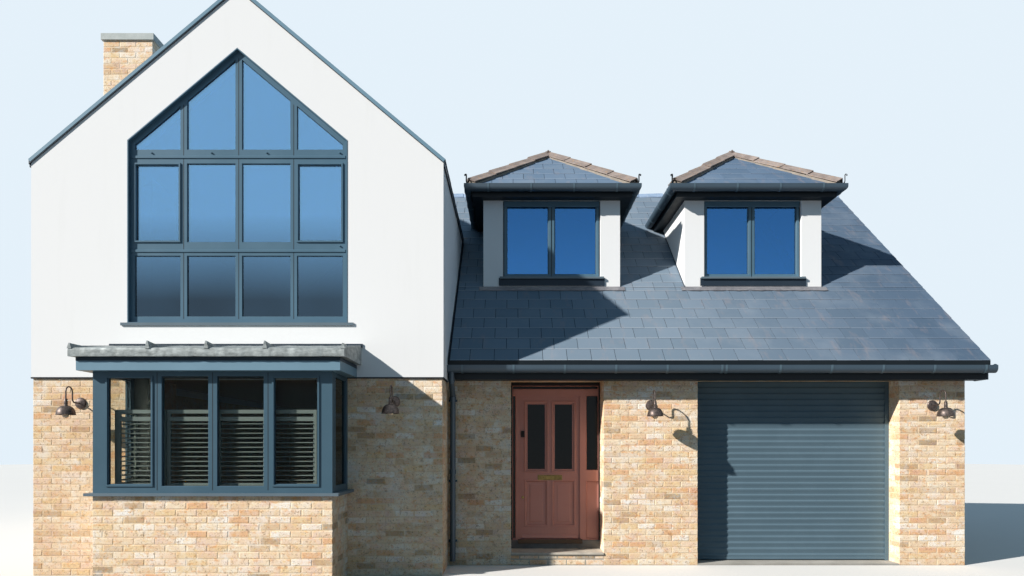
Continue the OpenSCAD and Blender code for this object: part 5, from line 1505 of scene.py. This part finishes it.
def window_fittings(metal):
    """Small pivots on the transoms of the gable window."""
    profile = [[0.002, 0.0], [0.009, 0.0], [0.009, 0.012], [0.006, 0.016], [0.002, 0.016]]
    transom = 4.903
    places = [[x, transom] for x in (1.374, 2.069, 2.711, 3.558)] + [[3.561, 3.820]]
    parts = [turned(profile, [x, GABLE_WINDOW_Y - 0.001, z], FORWARD, 12) for x, z in places]
    piece("window_pivots", gather(parts), metal, smooth=True)


def frame_joints(rubber):
    """The thin dark joint down the middle of each mullion, where two frames meet."""
    half = 0.0035
    proud = 0.0008
    deep = 0.002
    gable_foot = 2.975
    under_slopes = 0.100
    bay_joint = [1.030, 2.280]
    parts = []
    for dx in (-MULLION_SPACING, 0.0, MULLION_SPACING):
        x = GABLE_MID + dx
        top = GABLE_WINDOW_SPRING + (WINDOW_HALF - abs(dx)) * GABLE_TAN - under_slopes
        parts.append(box(x - half, x + half, GABLE_WINDOW_Y - proud, GABLE_WINDOW_Y + deep,
                         gable_foot, top))
    for k in (1, 2, 3):
        x = BAY[0] + BAY_CORNER + k * (BAY_LIGHT + BAY_MULLION) - BAY_MULLION / 2
        parts.append(box(x - half, x + half, BAY_FRONT - proud, BAY_FRONT + deep, *bay_joint))
    piece("frame_joints", gather(parts), rubber)


def render_beads(metal):
    """The dark stop bead at the render's foot, round the gable block and on the dormers' fronts."""
    lip = 0.004
    deep = 0.016
    left = [-lip, deep]
    right = [GABLE_W - deep, GABLE_W + lip]
    runs = [[left[0], right[1], GABLE_FRONT - lip, GABLE_FRONT + deep],
            [left[0], right[1], GABLE_REAR - deep, GABLE_REAR + lip],
            [*left, GABLE_FRONT, GABLE_REAR],
            [*right, GABLE_FRONT, -EAVES_OUT],
            [*right, MAIN_DEPTH + 0.2, GABLE_REAR]]
    parts = [box(*run, RENDER_FOOT - 0.010, RENDER_FOOT + 0.006) for run in runs]
    for x in DORMER_XS:
        for s in (-1, 1):
            a, b = sorted((x + s * (DORMER_WINDOW[0] + 0.045), x + s * (DORMER_HALF + 0.003)))
            parts.append(box(a, b, DORMER_FACE - 0.006, DORMER_FACE + 0.01, DORMER_FOOT - 0.004,
                             DORMER_FOOT + 0.010))
    piece("render_stop_beads", gather(parts), metal)


def verge_capping(metal):
    """The lighter upper band of the gable's verge trim, 38.5 mm wide, up both slopes."""
    outline = [[-0.012, -0.031], [0.002, -0.031], [0.003, -0.029], [0.003, 0.0075],
               [-0.012, 0.0075]]
    x = np.array([-GABLE_OVER, GABLE_MID])
    z = GABLE_EAVES - GABLE_OVER * GABLE_TAN + (x + GABLE_OVER) * GABLE_TAN
    parts = []
    for y, out in ((GABLE_FRONT - VERGE_OUT, FORWARD), (GABLE_REAR + VERGE_OUT, BACK)):
        for s in (1, -1):
            place = row_of(x if s > 0 else GABLE_W - x, y, z)
            parts.append(carried(outline, place, out, [-s * GABLE_SIN, 0, GABLE_COS]))
    piece("verge_cappings", gather(parts), metal)


# Entrance

# Sections (inset, depth behind the face) round the leaf's lower and upper panels, on its back,
# round the lights of the frame and round the door opening
LOW_MOULDING = [[0, 0.001], [0.001, -0.004], [0.008, -0.007], [0.022, -0.004], [0.034, 0.009],
                [0.034, 0.013], [0.020, 0.013], [0.020, 0.001]]
HIGH_MOULDING = [[0, 0.001], [0.001, -0.006], [0.010, -0.011], [0.024, -0.006], [0.034, 0.008],
                 [0.034, 0.014], [0.020, 0.014], [0.020, 0.001]]
BACK_MOULDING = [[0, -0.003], [0.008, -0.003], [0.018, 0.008], [0.018, 0.012], [0, 0.012]]
FRAME_MOULDING = [[0, -0.002], [0.004, -0.002], [0.010, 0.012], [0.010, 0.020], [0, 0.020]]
LINER = [[0, -0.014], [0.017, -0.014], [0.0195, -0.010], [0.0195, 0.004], [0, 0.004]]


def door_mouldings(paint):
    """Sunk and raised mouldings of the door leaf, its raised panels and its weather board."""
    x0, x1, z0, z1 = LEAF
    mid = (x0 + x1) / 2
    y = LEAF_FRONT
    stile = 0.090
    half_muntin = 0.0475
    foot = z0 + 0.170
    head = 1.043
    upper = [1.148, 2.096]
    lap_x = 0.026
    lap_z = 0.020
    upper_lap = 0.030
    inset = 0.040
    parts = []
    for a, b in ((x0 + stile, mid - half_muntin), (mid + half_muntin, x1 - stile)):
        around = rectangle(a - lap_x, b + lap_x, foot - lap_z, head + lap_z)
        parts.append(moulding(around, at_face(LOW_MOULDING, y)))
        field = rectangle(a + inset, b - inset, foot + inset, head - inset)
        parts.append(panel(field, y + 0.012, y + 0.007, 0.016))
        around = rectangle(a - upper_lap, b + upper_lap, *upper)
        parts.append(moulding(around, at_face(HIGH_MOULDING, y)))
        parts.append(moulding(rectangle(a, b, foot, head), at_face(BACK_MOULDING, -LEAF_BACK), -1))
    board = [[0.0, 0.0], [0.0, 0.042], [-0.006, 0.038], [-0.016, 0.012], [-0.016, 0.0]]
    parts.append(across(board, x0 + 0.035, x1 - 0.035, y, z0 + 0.006))
    piece("door_mouldings", gather(parts), paint, body="front_door")


def panel(corners, y_foot, y_face, slope):
    """A raised field: the outline at its foot and, drawn in by the slope, at its face."""
    corners = np.asarray(corners, float)
    inner = corners - np.sign(corners - corners.mean(0)) * slope
    rings = [np.insert(corners, 1, y_foot + 0.003, 1), np.insert(corners, 1, y_foot, 1),
             np.insert(inner, 1, y_face, 1)]
    return outward(np.concatenate(rings), closed_faces(3, 4))


def frame_mouldings(paint, dark):
    """Beads round the entrance's lights, and the dark liner round the door opening, whose dark is
    painted shade.
    """
    y = FRAME_Y
    left = ENTRANCE[0] + 0.020
    right = ENTRANCE[1] - 0.020
    foot = 0.280
    head = 2.165
    rail = [1.043, 1.178]
    top_light = [2.240, 2.290]
    left_jamb = ENTRANCE[0] + 0.067
    side_light = 6.527
    outlines = [rectangle(left, left_jamb, foot, head), rectangle(side_light, right, rail[1], head),
                rectangle(left, right, *top_light), rectangle(side_light, right, foot, rail[0])]
    parts = [moulding(outline, at_face(FRAME_MOULDING, y)) for outline in outlines]
    piece("entrance_mouldings", gather(parts), paint)
    trim = rectangle(ENTRANCE[0] + 0.001, ENTRANCE[1] - 0.001, 0.160, OPENING_HEAD - 0.002)
    liner = [moulding(trim, at_face(LINER, y)),
             box(ENTRANCE[0] + 0.018, ENTRANCE[1] - 0.018, y - 0.006, y + 0.004, 2.291,
                 OPENING_HEAD - 0.004)]
    piece("entrance_shade_liner", gather(liner), dark)


def door_fittings(brass, bronze):
    """Letter plate with a sprung flap, shaped lips and two knobs, and the night latch."""
    x0, x1, z0, z1 = LEAF
    mid = (x0 + x1) / 2
    y = LEAF_FRONT - 0.008
    back = y + 0.001
    plate = 1.085
    flap = 0.105
    lip = 0.112
    knob_out = 0.140
    parts = [box(mid - flap, mid + flap, y - 0.004, back, plate - 0.019, plate + 0.019, 0.002),
             box(mid - lip, mid + lip, y - 0.002, back, plate - 0.024, plate - 0.021, 0.0005),
             box(mid - lip, mid + lip, y - 0.002, back, plate + 0.021, plate + 0.024, 0.0005)]
    knob = [[0.001, 0.0], [0.006, 0.0], [0.007, 0.003], [0.004, 0.006], [0.001, 0.007]]
    for s in (-1, 1):
        parts.append(turned(knob, [mid + s * knob_out, y, plate], FORWARD, 14))
    piece("door_fittings", gather(parts), brass, body="front_door", smooth=True)
    rim = [[0.001, 0.0], [0.021, 0.0], [0.022, 0.003], [0.018, 0.006], [0.013, 0.006],
           [0.012, 0.003], [0.001, 0.003]]
    x = x0 + 0.045
    z = 1.657
    out = 0.020
    half = 0.024
    half_tall = 0.041
    latch = [turned(rim, [x, y - out, z], FORWARD, 24),
             box(x - half, x + half, y - out, back, z - half_tall, z + half_tall, 0.002)]
    piece("door_latch", gather(latch), bronze, body="front_door", smooth=True)


def entrance_threshold(stone, wood):
    """The stone threshold under the entrance's frame, and the dark weather board on it."""
    gap = 0.002
    top = 0.268
    past = 0.02
    board_foot = 0.2265
    made = box(ENTRANCE[0] + gap, ENTRANCE[1] - gap, FRAME_Y - 0.022, FRAME_Y + 0.004,
               SLAB_TOP, top, 0.003)
    piece("entrance_threshold", made, stone)
    outline = [[0.0, 0.0], [0.0, 0.052], [-0.008, 0.050], [-0.030, 0.008], [-0.030, 0.0]]
    made = across(outline, LEAF[0] - past, LEAF[1] + past, FRAME_Y - 0.016, board_foot)
    piece("weather_board", made, wood)


def entrance_slab(stone):
    """The step's stone slab with a rounded nose, over the brick riser."""
    foot = 0.1215
    back = FRAME_Y - 0.001
    angle = np.linspace(-np.pi / 2, np.pi / 2, 9)
    nose_y = -0.006 - np.cos(angle) * 0.012
    nose_z = (foot + SLAB_TOP) / 2 + np.sin(angle) * (SLAB_TOP - foot) / 2
    outline = np.concatenate([np.stack([nose_y, nose_z], 1), [[back, SLAB_TOP], [back, foot]]])
    made = across(outline, ENTRANCE[0] + 0.001, ENTRANCE[1] - 0.001)
    piece("entrance_slab", made, stone)


# Garage

def shutter_curtain(metal):
    """The shutter's slats: the face stands out by 9 mm sin(pi t ** 2.4) ** 0.7, t going from 0 at
    each slat's foot to 1 at its head."""
    pitch = 0.077
    foot = 0.030
    top = OPENING_HEAD
    trough = 0.262
    top_face = 0.256
    back = 0.2725
    rail_face = 0.2505
    rail_back = 0.272
    rail_top = 0.066
    left = GARAGE[0] + 0.016
    right = GARAGE[1] - 0.016
    count = int(math.ceil((top - foot) / pitch))
    t = np.linspace(0, 1, 19)[:-1]
    face = 0.009 * np.sin(np.pi * t ** 2.4) ** 0.7
    z = (foot + (np.arange(count)[:, None] + t[None]) * pitch).ravel()
    y = np.tile(trough - face, count)
    kept = z < top
    z = np.append(z[kept], top)
    y = np.append(y[kept], top_face)
    outline = np.concatenate([np.stack([y, z], 1), [[back, top], [back, foot]]])
    parts = [across(outline, left, right),
             box(left, right, rail_face, rail_back, foot, rail_top, 0.004)]
    made = piece("shutter_curtain", gather(parts), metal, smooth=True)
    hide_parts("garage_shutter")


# Lamps

# Profiles (radius, height): wall disc, neck from its cap down to the bell, rolled rim, and the
# bulb's cap
LAMP_DISC = [[0.001, 0.0], [0.066, 0.0], [0.067, 0.008], [0.061, 0.013], [0.057, 0.021],
             [0.036, 0.027], [0.014, 0.034], [0.001, 0.034]]
LAMP_NECK = [[0.001, 0.038], [0.010, 0.038], [0.017, 0.032], [0.019, 0.024], [0.016, 0.020],
             [0.019, 0.014], [0.020, -0.024], [0.018, -0.030], [0.022, -0.038], [0.025, -0.044]]
LAMP_RIM = [[0.102, -0.1435], [0.104, -0.145], [0.103, -0.1465], [0.096, -0.1445]]
BULB_CAP = [[0.014, -0.108], [0.014, -0.050], [0.001, -0.050]]


def gooseneck(x, y, z):
    """The lamp's tube: out from the disc, up round a quarter circle, over a half one and down."""
    bend_r = 0.044
    hoop_r = 0.058
    bend = np.linspace(-np.pi / 2, 0, 8)
    hoop = np.linspace(np.pi, 0, 16)
    reach = np.concatenate([[0.0, 0.09], 0.115 + bend_r * np.cos(bend),
                            LAMP_REACH - hoop_r + hoop_r * np.cos(hoop), [LAMP_REACH]])
    rise = np.concatenate([[0.0, 0.0], bend_r + bend_r * np.sin(bend),
                           0.115 + hoop_r * np.sin(hoop), [0.025]])
    return tube(row_of(x, y - reach, z + rise), 0.008, 12)


def wall_lamp(x, y, z):
    """One lamp: stepped wall disc, gooseneck tube, neck, bell shade with a rolled rim, bulb."""
    centre = [x, y - LAMP_REACH, z]
    thick = 0.0018
    t = np.linspace(0, 1, 14) ** 1.6
    bell_r = 0.026 + 0.071 * np.sqrt(2 * t - t * t)
    bell_z = -0.044 - 0.098 * t
    outer = np.stack([bell_r, bell_z], 1)
    inner = np.stack([bell_r - thick, bell_z - 0.001], 1)[::-1]
    shell = np.concatenate([LAMP_NECK, outer[1:], LAMP_RIM, inner[1:], [[0.001, -0.0455]]])
    metal = [turned(LAMP_DISC, [x, y, z], FORWARD, 28), gooseneck(x, y, z),
             turned(shell, centre, UP, 32)]
    bulb_r = 0.036
    bulb_z = -0.146
    angle = np.linspace(0.08, np.pi - 0.55, 12)
    round_ = np.stack([bulb_r * np.sin(angle), bulb_z - bulb_r * np.cos(angle)], 1)
    return metal, [turned(np.concatenate([round_, BULB_CAP]), centre, UP, 20)]


def hang_lamps(pewter, glass):
    """The four wall lamps and their bulbs."""
    metal = []
    bulbs = []
    for x, y, z in LAMPS:
        more, glow = wall_lamp(x, y, z)
        metal += more
        bulbs += glow
    made = piece("gooseneck_lamps", gather(metal), pewter, smooth=True)
    piece("lamp_bulbs", gather(bulbs), glass, smooth=True)
    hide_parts("wall_lamps")


# Finishes for the nodes that stay as they are

def dress_nodes(finishes):
    """Gives each carried-over node the finish that NODE_FINISH names, in all its material slots."""
    for name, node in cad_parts.items():
        finish = finishes[NODE_FINISH[name]]
        for k in range(len(node.material_slots)):
            node.material_slots[k].material = finish
        if not node.material_slots:
            node.data.materials.append(finish)


NODE_FINISH = {
    "ground_floor": "concrete", "upper_floor": "boards", "gable_front_wall_lower": "mortar",
    "gable_front_wall_upper": "render", "gable_side_walls_lower": "mortar",
    "gable_side_walls_upper": "render", "gable_rear_wall_lower": "mortar",
    "gable_rear_wall_upper": "render", "main_front_piers": "mortar", "main_front_lintel": "mortar",
    "main_end_wall": "mortar", "main_rear_wall": "mortar", "main_roof_front": "under_slate",
    "main_roof_rear": "under_slate", "gable_roof": "under_slate", "ridge_tiles": "ridge",
    "dormer_hip_tiles": "hip", "verge_trims": "verge", "eaves_boards": "eaves", "gutters": "gutter",
    "downpipes": "gutter", "dormer_walls": "render", "dormer_roofs": "under_slate",
    "casement_frames": "dormer_window_shade", "casement_glass": "dormer_glass",
    "gable_window_frame": "window", "gable_window_glass": "gable_glass",
    "window_sills": "sill", "bay_plinth": "mortar",
    "bay_window_frame": "bay_window", "bay_window_glass": "clear_glass", "bay_shutters": "louvre",
    "bay_fascia": "trim", "bay_roof": "lead", "entrance_step": "stone", "entrance_frame": "door",
    "entrance_glass": "door_glass", "front_door_leaf": "door", "front_door_glass": "door_glass",
    "front_door_furniture": "brass", "garage_shutter": "shutter", "garage_guides": "shutter",
    "chimney_stack": "mortar", "chimney_cap": "cap", "wall_lamps": "pewter",
}


# Material, colour and roughness, and where they aren't the usual ones the dust and the gloss
COATED = {
    "under_slate": ["roof_felt", (34, 40, 47), 0.8, 0.08, 0.1],
    "trim": ["trim_metal", (112, 143, 160), 0.38],
    "window": ["window_metal", (79, 109, 127), 0.36],
    "bay_window": ["bay_window_metal", (66, 93, 108), 0.38],
    # The dormers' casement frames: the window metal painted darker, as shade under their eaves and in
    # their reveals.
    "dormer_window_shade": ["casement_metal", (46, 66, 78), 0.4],
    "sill": ["sill_metal", (98, 113, 122), 0.4],
    # The verge trims are painted dark: shade, as falls on the trim's lower band under the lighter
    # capping.
    "verge": ["verge_metal", (42, 54, 64), 0.42],
    "weather": ["weather_board", (78, 60, 44), 0.6],
    "eaves": ["eaves_paint", (22, 30, 36), 0.42, 0.08, 0.15],
    "gutter": ["gutter_metal", (38, 58, 72), 0.52, 0.08, 0.7],
    # Brackets lighter than the gutter: a painted highlight for the sun's glint on them.
    "bracket": ["bracket_metal", (72, 92, 104), 0.5, 0.08, 0.5],
    "louvre": ["shutter_paint", (122, 135, 127), 0.5],
    # Dark boards inside the bay: painted shade for the unlit inside.
    "lining": ["lining_paint", (84, 90, 84), 0.6],
    "shutter": ["shutter_metal", (92, 113, 125), 0.36, 0.08, 0.06],
    "rubber": ["gasket_rubber", (22, 24, 26), 0.6, 0.05],
    # Dark lead for the flashings; the same dark is painted shade on the bay's drip board, and in part
    # on the upstands under the dormers' sills.
    "edging": ["edging_lead", (40, 52, 64), 0.5, 0.08, 0.15],
    # Dark bronze for the night latch; the same dark is painted shade on the liner round the door
    # opening.
    "liner": ["liner_paint", (40, 34, 33), 0.6, 0.08, 0.15],
}

# Way of making, material and two or three colours
MOTTLED = {
    "ridge": [clay_finish, "ridge_clay", (156, 178, 204), (132, 153, 178), (200, 204, 204)],
    "hip": [clay_finish, "hip_clay", (164, 150, 142), (122, 110, 104), (184, 140, 84)],
    "lead": [lead_finish, "roof_lead", (158, 165, 165), (114, 120, 120)],
    "flashing": [lead_finish, "flashing_lead", (112, 118, 122), (84, 90, 94)],
    "apron": [lead_finish, "apron_lead", (142, 140, 143), (114, 114, 120)],
    "stone": [stone_finish, "step_stone", (190, 182, 168), (160, 152, 140)],
    "sawn_stone": [stone_finish, "threshold_stone", (120, 118, 114), (96, 94, 92)],
    "cap": [stone_finish, "cap_concrete", (198, 202, 198), (176, 182, 178)],
    "bedding": [stone_finish, "bedding_mortar", (158, 148, 136), (128, 120, 110)],
    "left_glass": [side_glass, "left_glass", (238, 236, 222), (228, 226, 212)],
    # The right pane's glass is darker than the left's: painted shade for the unlit room behind it.
    "right_glass_painted_shade": [side_glass, "right_glass_painted_shade", (150, 148, 138), (128, 126, 118)],
}


def make_finishes():
    """Every finish by its short name."""
    finishes = {
        "brick": brick_finish(),
        "mortar": mortar_finish(),
        "render": render_finish(),
        "slate": slate_finish("roof_slates"),
        # The dormers' slates are tinted darker and bluer: painted shade, as their slopes catch more
        # of the sun.
        "dormer_slate": slate_finish("dormer_slates", (0.76, 0.85, 0.97)),
        "concrete": stone_finish("floor_concrete", shade(176, 172, 164), shade(150, 146, 138), 3.0),
        "boards": board_finish(),
        "door": door_paint(),
        "door_glass": dark_glass(),
        "brass": aged_metal("door_brass", shade(122, 104, 64), shade(74, 62, 40), 45.0, 4.0,
                            (0.4, 0.62), 0.08, 1.0),
        "pewter": aged_metal("lamp_pewter", shade(106, 93, 87), shade(56, 52, 52), 38.0, 5.0,
                             (0.38, 0.6), 0.1, 0.7),
        "bulb": bulb_finish(),
        "clear_glass": clear_glass(),
        # Painted sky reflections: the gable's glass is light blue at its top and dark at its foot,
        # the dormers' lighter at the foot.
        "gable_glass": sky_glass("gable_glass", (0.32, 0.62, 0.93), (0.04, 0.06, 0.08), 3.2, 4.2,
                                 0.55),
        "dormer_glass": sky_glass("casement_glass", (0.03, 0.22, 0.56), (0.06, 0.31, 0.72), 3.95,
                                  5.0, 0.42),
    }
    for key, (name, colour, *rest) in COATED.items():
        finishes[key] = coated_metal(name, shade(*colour), *rest)
    for key, (make, name, *colours) in MOTTLED.items():
        finishes[key] = make(name, *[shade(*colour) for colour in colours])
    return finishes


# Studio

def studio():
    """Camera at the photograph's place and angle, one key from the side of its sun, an even bluish
    fill. The width, the focal length and the camera's rise are in the photograph's pixels."""
    width = 1024
    focal = 690
    rise = 158
    sensor = 36.0
    eye = np.array([5.557, -8.685, 1.5])
    lens = bpy.data.cameras.new("camera")
    lens.sensor_width = sensor
    lens.lens = focal / width * sensor
    lens.shift_y = rise / width
    lens.clip_end = 200.0
    camera = bpy.data.objects.new("camera", lens)
    camera.location = eye - ORIGIN
    camera.rotation_euler = (math.pi / 2, 0, 0)
    bpy.context.scene.collection.objects.link(camera)
    bpy.context.scene.camera = camera
    key = bpy.data.lights.new("key", "SUN")
    key.energy = 6.25
    key.angle = math.radians(1)
    key.color = (1.0, 0.96, 0.91)
    lamp = bpy.data.objects.new("key", key)
    travel = np.array([0.765, 0.43, -0.505])
    pitch = math.acos(-travel[2] / np.linalg.norm(travel))
    lamp.rotation_euler = (pitch, 0, math.atan2(travel[1], travel[0]) - math.pi / 2)
    bpy.context.scene.collection.objects.link(lamp)
    world = bpy.data.worlds.new("studio")
    world.use_nodes = True
    tree = world.node_tree
    fill = tree.nodes["Background"]
    fill.inputs["Color"].default_value = (0.36, 0.68, 1.0, 1.0)
    fill.inputs["Strength"].default_value = 0.28
    seen = tree.nodes.new("ShaderNodeBackground")
    seen.inputs["Color"].default_value = (0.78, 0.88, 0.96, 1.0)
    seen.inputs["Strength"].default_value = 1.0
    both = tree.nodes.new("ShaderNodeMixShader")
    tree.links.new(straight_rays(tree), both.inputs[0])
    tree.links.new(fill.outputs[0], both.inputs[1])
    tree.links.new(seen.outputs[0], both.inputs[2])
    tree.links.new(both.outputs[0], tree.nodes["World Output"].inputs["Surface"])
    bpy.context.scene.world = world
    bpy.context.scene.view_settings.view_transform = "Standard"


def straight_rays(tree):
    """1 for the rays that see the studio itself, from the camera, in gloss or through glass."""
    path = tree.nodes.new("ShaderNodeLightPath")
    total = path.outputs["Is Camera Ray"]
    for name in ("Is Glossy Ray", "Is Transmission Ray"):
        both = tree.nodes.new("ShaderNodeMath")
        both.operation = "MAXIMUM"
        tree.links.new(total, both.inputs[0])
        tree.links.new(path.outputs[name], both.inputs[1])
        total = both.outputs[0]
    return total


def studio_floor():
    """A plain pale floor, a wide flat disc just under the house, which sends little light back."""
    sides = 96
    drop = 0.002
    angle = np.linspace(0, 2 * np.pi, sides, endpoint=False)
    radii = np.array([0.5, 20.0, 60.0])
    points = np.zeros((len(radii), sides, 3))
    points[..., 0] = radii[:, None] * np.cos(angle)
    points[..., 1] = radii[:, None] * np.sin(angle)
    points[..., 2] = -drop
    mesh = bpy.data.meshes.new("studio_floor")
    faces = grid_faces(len(radii), sides, close_columns=True).tolist() + [list(range(sides))]
    mesh.from_pydata(points.reshape(-1, 3).tolist(), [], faces)
    box_ = Paintbox("studio_floor")
    cloud = box_.noise(0.4, 3.0, 0.5)
    seen = box_.mix(cloud, shade(226, 224, 220), shade(222, 220, 216))
    body = box_.mix(straight_rays(box_.tree), shade(92, 91, 89), seen)
    mesh.materials.append(box_.finish(body, 0.9))
    floor = bpy.data.objects.new("studio_floor", mesh)
    bpy.context.scene.collection.objects.link(floor)


def build():
    """Finishes, studio and pieces; their order keeps the random draws the same."""
    finishes = make_finishes()
    studio()
    studio_floor()
    dress_nodes(finishes)
    lay_bricks(finishes["brick"])
    main_slates(finishes["slate"])
    gable_slates(finishes["slate"])
    dormer_slates(finishes["dormer_slate"])
    ridge_rows(finishes["ridge"])
    dormer_tile_rows(finishes["hip"], finishes["bedding"])
    hip_irons(finishes["eaves"])
    eaves_felt(finishes["eaves"])
    leadwork(finishes["flashing"], finishes["edging"], finishes["apron"])
    bay_lead_roof(finishes["lead"])
    bay_wall_flashing(finishes["edging"])
    bay_drip_shade_board(finishes["edging"])
    bay_lining(finishes["lining"])
    louvre_shutters(finishes["louvre"])
    bay_panes(finishes["clear_glass"], finishes["left_glass"], finishes["right_glass_painted_shade"])
    gutter_brackets(finishes["bracket"])
    glazing_beads(finishes["window"], finishes["rubber"])
    sash_lines(finishes["window"])
    window_fittings(finishes["window"])
    frame_joints(finishes["rubber"])
    render_beads(finishes["eaves"])
    verge_capping(finishes["trim"])
    door_mouldings(finishes["door"])
    frame_mouldings(finishes["door"], finishes["liner"])
    door_fittings(finishes["brass"], finishes["liner"])
    entrance_slab(finishes["stone"])
    entrance_threshold(finishes["sawn_stone"], finishes["weather"])
    shutter_curtain(finishes["shutter"])
    hang_lamps(finishes["pewter"], finishes["bulb"])


build()
